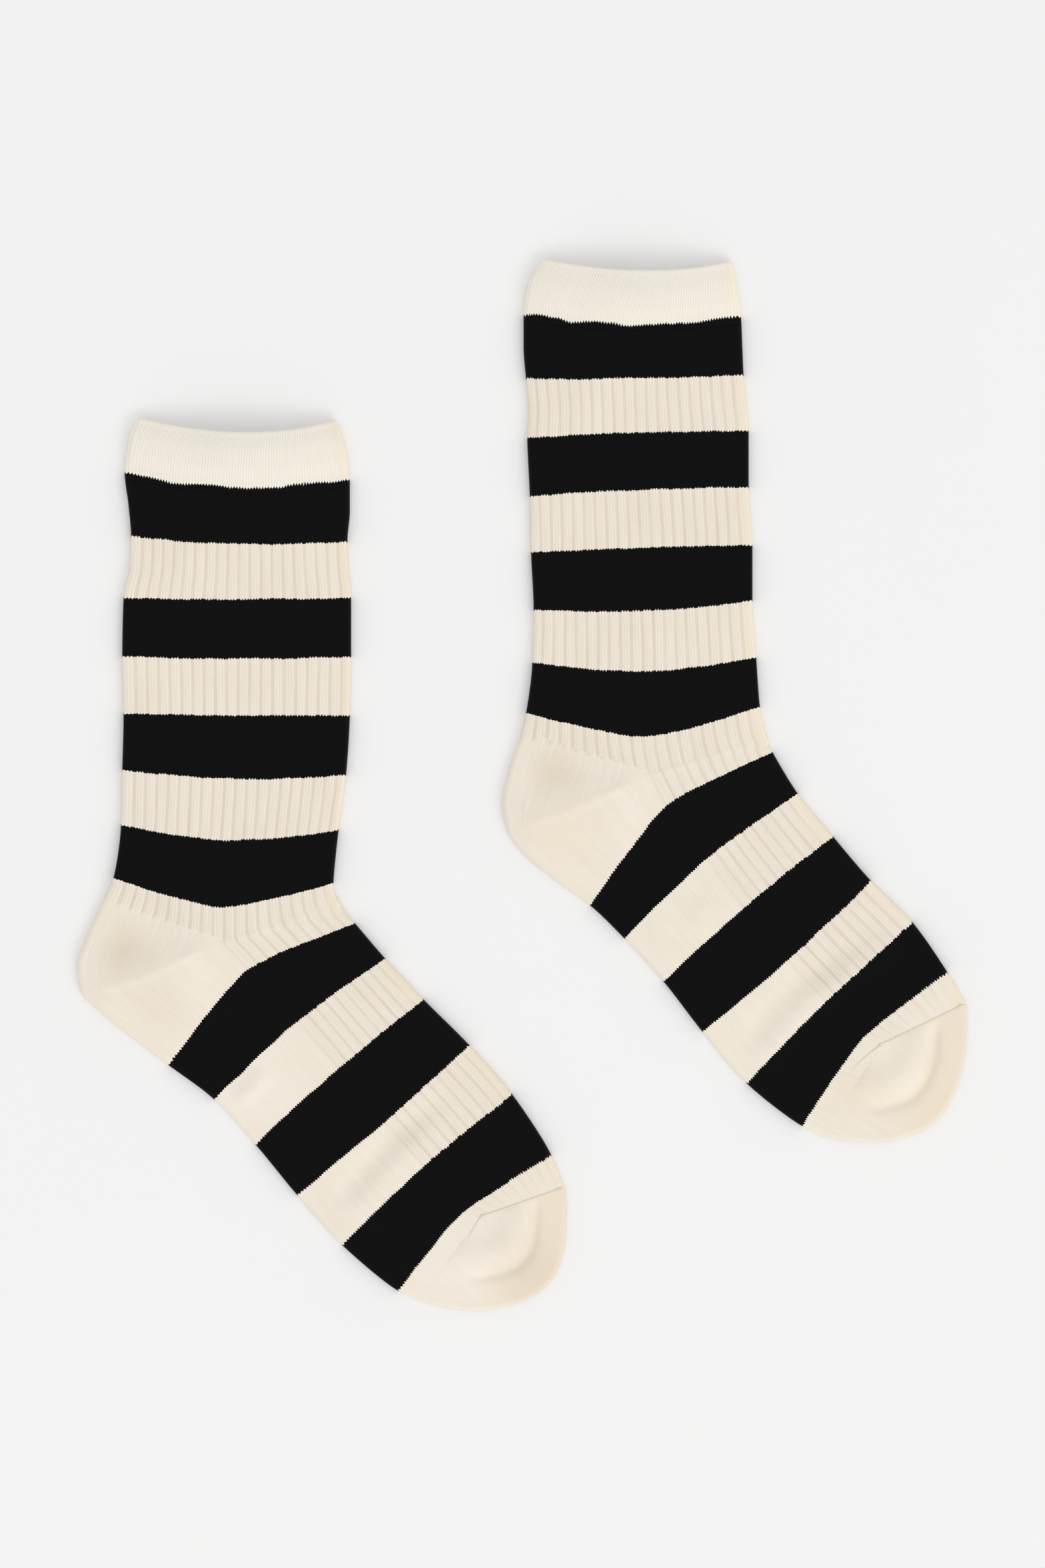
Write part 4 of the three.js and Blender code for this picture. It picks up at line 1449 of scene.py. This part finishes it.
@dataclass
class ToeSeam:
    """The raised line of linking stitches between instep and toe, with its thicker end."""

    form: SockForm
    radius: float = 0.26
    steps: int = 60
    tail_steps: int = 16
    sides: int = 8
    row: float = 23.97
    edge: float = 0.985           # how far out across the face it starts
    end_size: float = 1.3         # how much thicker it is at the sock's outline
    end_reach: float = 1.6
    apex_size: float = 0.8        # how much thicker at the toe's middle
    apex_reach: float = 1.0

    def line(self, body: bpy.types.Object) -> Array:
        """The seam's middle line on the knit, from the outline to the end of its tail.

        Args:
            body: the knit that it lies on.

        Returns:
            Points in mm.
        """
        t = np.linspace(self.edge, 0.5, self.steps)
        ring = Ring(self.form, np.array([self.row]), t * WALES, np.array([SIDE_HEIGHT]))
        seam = ring.plan()[0]
        knots = (tuple(seam[-1]), *self.form.toe.tail)
        tail = points_through(knots, np.linspace(0, len(knots) - 1, self.tail_steps + 1)[1:])
        plan = np.concatenate([seam, tail])
        heights = [body.ray_cast((x * MM, y * MM, 0.05), (0, 0, -1))[1][2] / MM for x, y in plan]
        return np.concatenate([plan, np.array(heights)[:, None]], 1)

    def build(self, body: bpy.types.Object) -> bpy.types.Object:
        """Builds the line over the upper face, sunk by half in the knit.

        Args:
            body: the knit that it lies on.

        Returns:
            The closed line.
        """
        line = self.line(body)
        ahead = np.gradient(line, axis=0)
        run = np.concatenate([[0], np.cumsum(np.linalg.norm(np.diff(line, axis=0), axis=1))])
        ahead /= np.linalg.norm(ahead, axis=1, keepdims=True)
        side = np.cross(ahead, np.array([0.0, 0.0, 1.0]))
        side /= np.linalg.norm(side, axis=1, keepdims=True)
        lift = np.cross(side, ahead)
        apex = run[self.steps - 1]
        size = self.radius * (1 + 0.18 * np.sin(4.1 * run)
                              + self.end_size * bell(run, self.end_reach, self.end_reach)
                              + self.apex_size * bell(run, apex, self.apex_reach))
        beyond = smoothstep(apex, run[-1], run)
        size = size * (1 - 0.4 * beyond)
        size[0] *= 0.4
        line[:, 2] -= size * beyond
        angles = np.linspace(0, 2 * np.pi, self.sides, endpoint=False)
        rings = (line[:, None] + size[:, None, None]
                 * (np.cos(angles)[None, :, None] * side[:, None]
                    + np.sin(angles)[None, :, None] * lift[:, None]))
        mesh = KnitMesh()
        number = mesh.add(rings)
        ends = mesh.add(line[[0, -1]])
        cap = np.full((1, self.sides), ends[0])
        other = np.full((1, self.sides), ends[1])
        grid = np.concatenate([cap, number, other])
        grid = np.concatenate([grid, grid[:, :1]], 1)
        flat = np.zeros((*grid.shape, 2))
        mesh.grid(grid, flat, flat)
        return mesh.made(f"{self.form.side.value}_toe_seam")

    def dress(self, piece: bpy.types.Object) -> None:
        """Gives the line its yarn and lets it ride with the sock."""
        piece.data.materials.append(YarnFinish(f"{self.form.side.value}_linking_yarn",
                                               Yarn.LINKING).material())
        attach(piece, "root")


@dataclass
class Sock:
    """One sock of the pair, from its cuff to its toe."""

    form: SockForm
    pieces: list[bpy.types.Object] = field(default_factory=list)

    def build(self) -> None:
        """Builds and dresses the cuff, the body and the toe seam."""
        bands = stripes_of(self.form)
        cuff, body, seam = Cuff(self.form), SockBody(self.form), ToeSeam(self.form)
        cuff_piece, body_piece = cuff.build(), body.build()
        bpy.context.view_layer.update()
        seam_piece = seam.build(body_piece)
        cuff.dress(cuff_piece, bands)
        body.dress(body_piece, bands)
        seam.dress(seam_piece)
        self.pieces = [cuff_piece, body_piece, seam_piece]


@dataclass(frozen=True)
class FloorFinish:
    """Smooth matt white paper."""

    name: str = "white_paper"
    shade: float = 0.93

    def material(self) -> bpy.types.Material:
        """Builds the material: white, with a trace of unevenness."""
        made = bpy.data.materials.new(self.name)
        made.use_nodes = True
        write = Writer(made.node_tree)
        shader = made.node_tree.nodes["Principled BSDF"]
        place = write.node("ShaderNodeTexCoord").outputs["Object"]
        low, high = self.shade * 0.997, self.shade * 1.003
        write.put(write.mix(write.noise(place, 9.0), (low, low, low, 1), (high, high, high, 1)),
                  shader.inputs["Base Color"])
        shader.inputs["Roughness"].default_value = 0.95
        shader.inputs["Specular IOR Level"].default_value = 0.0
        return made


@dataclass
class Studio:
    """A white floor, a bright even room, one large soft light and the camera overhead."""

    floor_size: float = 6.0
    floor_gap: float = 0.00005    # how far the floor lies under the socks
    room: float = 0.845
    key_power: float = 275.0
    key_size: tuple[float, float] = (9.0, 4.0)
    key_place: tuple[float, float, float] = (5.4, -7.0, 5.8)
    camera_height: float = 1.6
    view_centre: Point = (0.0001, 0.0003)
    view_length: float = 0.6233   # of the photograph's long side, on the floor
    sensor: float = 36.0
    clip: tuple[float, float] = (0.05, 50.0)

    def build_floor(self) -> bpy.types.Object:
        """Lays the floor just under the socks."""
        bpy.ops.object.select_all(action="DESELECT")
        bpy.ops.mesh.primitive_plane_add(size=self.floor_size, location=(0, 0, -self.floor_gap))
        floor = bpy.context.active_object
        floor.name = floor.data.name = "floor"
        bpy.ops.object.transform_apply(location=True, rotation=False, scale=False)
        floor.data.materials.append(FloorFinish().material())
        return floor

    def light(self) -> None:
        """Sets the room's even light and the soft light from the lower right."""
        world = bpy.data.worlds.new("room")
        bpy.context.scene.world = world
        world.use_nodes = True
        back = world.node_tree.nodes["Background"]
        back.inputs[0].default_value = (1.0, 1.0, 1.0, 1.0)
        back.inputs[1].default_value = self.room
        lamp = bpy.data.lights.new("soft_light", "AREA")
        lamp.shape = "RECTANGLE"
        lamp.energy, (lamp.size, lamp.size_y) = self.key_power, self.key_size
        lamp.color = (1.0, 0.985, 0.965)
        stand = bpy.data.objects.new("soft_light", lamp)
        bpy.context.scene.collection.objects.link(stand)
        stand.location = self.key_place
        x, y, z = self.key_place
        stand.rotation_euler = (math.atan2(math.hypot(x, y), z), 0, math.atan2(y, x) + math.pi / 2)

    def photograph(self) -> None:
        """Hangs the camera straight over the pair, as in the photograph."""
        lens = bpy.data.cameras.new("overhead")
        lens.sensor_width = self.sensor
        lens.lens = self.sensor * self.camera_height / self.view_length
        lens.clip_start, lens.clip_end = self.clip
        camera = bpy.data.objects.new("overhead", lens)
        bpy.context.scene.collection.objects.link(camera)
        camera.location = (*self.view_centre, self.camera_height)
        bpy.context.scene.camera = camera
        bpy.context.scene.view_settings.view_transform = "Standard"


LEFT_CREASES = (
    Crease(((-121, -61), (-133.5, -69), (-146.5, -75), (-160, -79.5), (-177, -83)), -2.6, 18, 13),
    Crease(((-124, -63), (-133.5, -69), (-146.5, -75), (-160, -79.5), (-174, -82)), -0.35, 1.6, 2),
    Crease(((-100, -112), (-106, -120), (-114, -128)), -1.5, 2.6, 4, 7),
    Crease(((-26, -120), (-38, -128.5), (-50.5, -139), (-61, -150), (-70, -161), (-77, -170)),
           1.1, 5, 4, 16),
    Crease(((-32, -134), (-44.5, -144.5), (-55, -155.5), (-64, -166.5), (-71, -175)), -1.4, 7, 5),
)
RIGHT_CREASES = (
    Crease(((49, 5), (36, -3), (20, -10), (4, -15), (-9, -18)), -2.4, 18, 13),
    Crease(((46, 3), (36, -3), (20, -10), (4, -15), (-6, -17.5)), -0.35, 1.6, 2),
    Crease(((73.5, -43), (71, -53), (67, -63)), -1.1, 7, 5, 8),
    Crease(((135, -60), (120, -72), (109, -79), (99.5, -88.5), (91, -100), (86, -108)), 0.8, 5, 5),
    Crease(((154.5, -58.5), (142, -67), (126.5, -77.5), (115.5, -85), (107, -94.5), (98, -106),
            (92.5, -114)), -2.0, 4.5, 7, 16),
)
# The tan patches are painted shade: in the heel's valley, on its lower part and on the toe's rim.
# The two lighter ones whiten the cream on the first sole band and on the toe's mound.
LEFT_SHADE_AND_TONE_SPOTS = (
    ToneAndShadeSpot((-157, -66), 18, 0.4, Yarn.TAN),
    ToneAndShadeSpot((-145, -86), 22, 0.25, Yarn.TAN),
    ToneAndShadeSpot((4.5, -194), 23, 0.32, Yarn.TAN),
    ToneAndShadeSpot((-98, -124), 30, 0.3, Yarn.WELT),
    ToneAndShadeSpot((-28, -189), 24, 0.5, Yarn.WELT),
)
# All painted shade: on the heel's upper and lower slopes, and by the toe's crease and on its rim.
RIGHT_SHADE_SPOTS = (
    ToneAndShadeSpot((13, 5), 16, 0.4, Yarn.TAN),
    ToneAndShadeSpot((18, -21), 24, 0.4, Yarn.PEACH),
    ToneAndShadeSpot((134, -122), 20, 0.35, Yarn.PEACH),
    ToneAndShadeSpot((164.5, -127), 18, 0.3, Yarn.PEACH),
)
LEFT_TAIL = ((-18, -173.5), (-21, -179), (-22.5, -184))
RIGHT_TAIL = ((137.5, -106.5), (132, -111.5), (127.5, -118))
SOCK_FORMS = (
    SockForm(Side.LEFT, LEFT_ROWS, ToePocket(LEFT_TOE_EDGE, LEFT_TAIL), LEFT_CREASES,
             LEFT_SHADE_AND_TONE_SPOTS, 0.4, 0.75),
    SockForm(Side.RIGHT, RIGHT_ROWS, ToePocket(RIGHT_TOE_EDGE, RIGHT_TAIL), RIGHT_CREASES,
             RIGHT_SHADE_SPOTS, 2.1, -0.7),
)


def report(pieces: Iterable[bpy.types.Object]) -> None:
    """Writes each piece's name and count of triangles to the log."""
    for piece in pieces:
        triangles = sum(len(p.vertices) - 2 for p in piece.data.polygons)
        logging.info("%s: %d triangles", piece.name, triangles)


def main() -> None:
    """Builds the studio and both socks."""
    logging.basicConfig(level=logging.INFO, format="%(message)s")
    bpy.ops.object.select_all(action="DESELECT")
    studio = Studio()
    studio.photograph()
    floor = studio.build_floor()
    studio.light()
    for form in SOCK_FORMS:
        sock = Sock(form)
        sock.build()
        report(sock.pieces)
    bpy.context.view_layer.update()


if __name__ == "__main__":
    main()
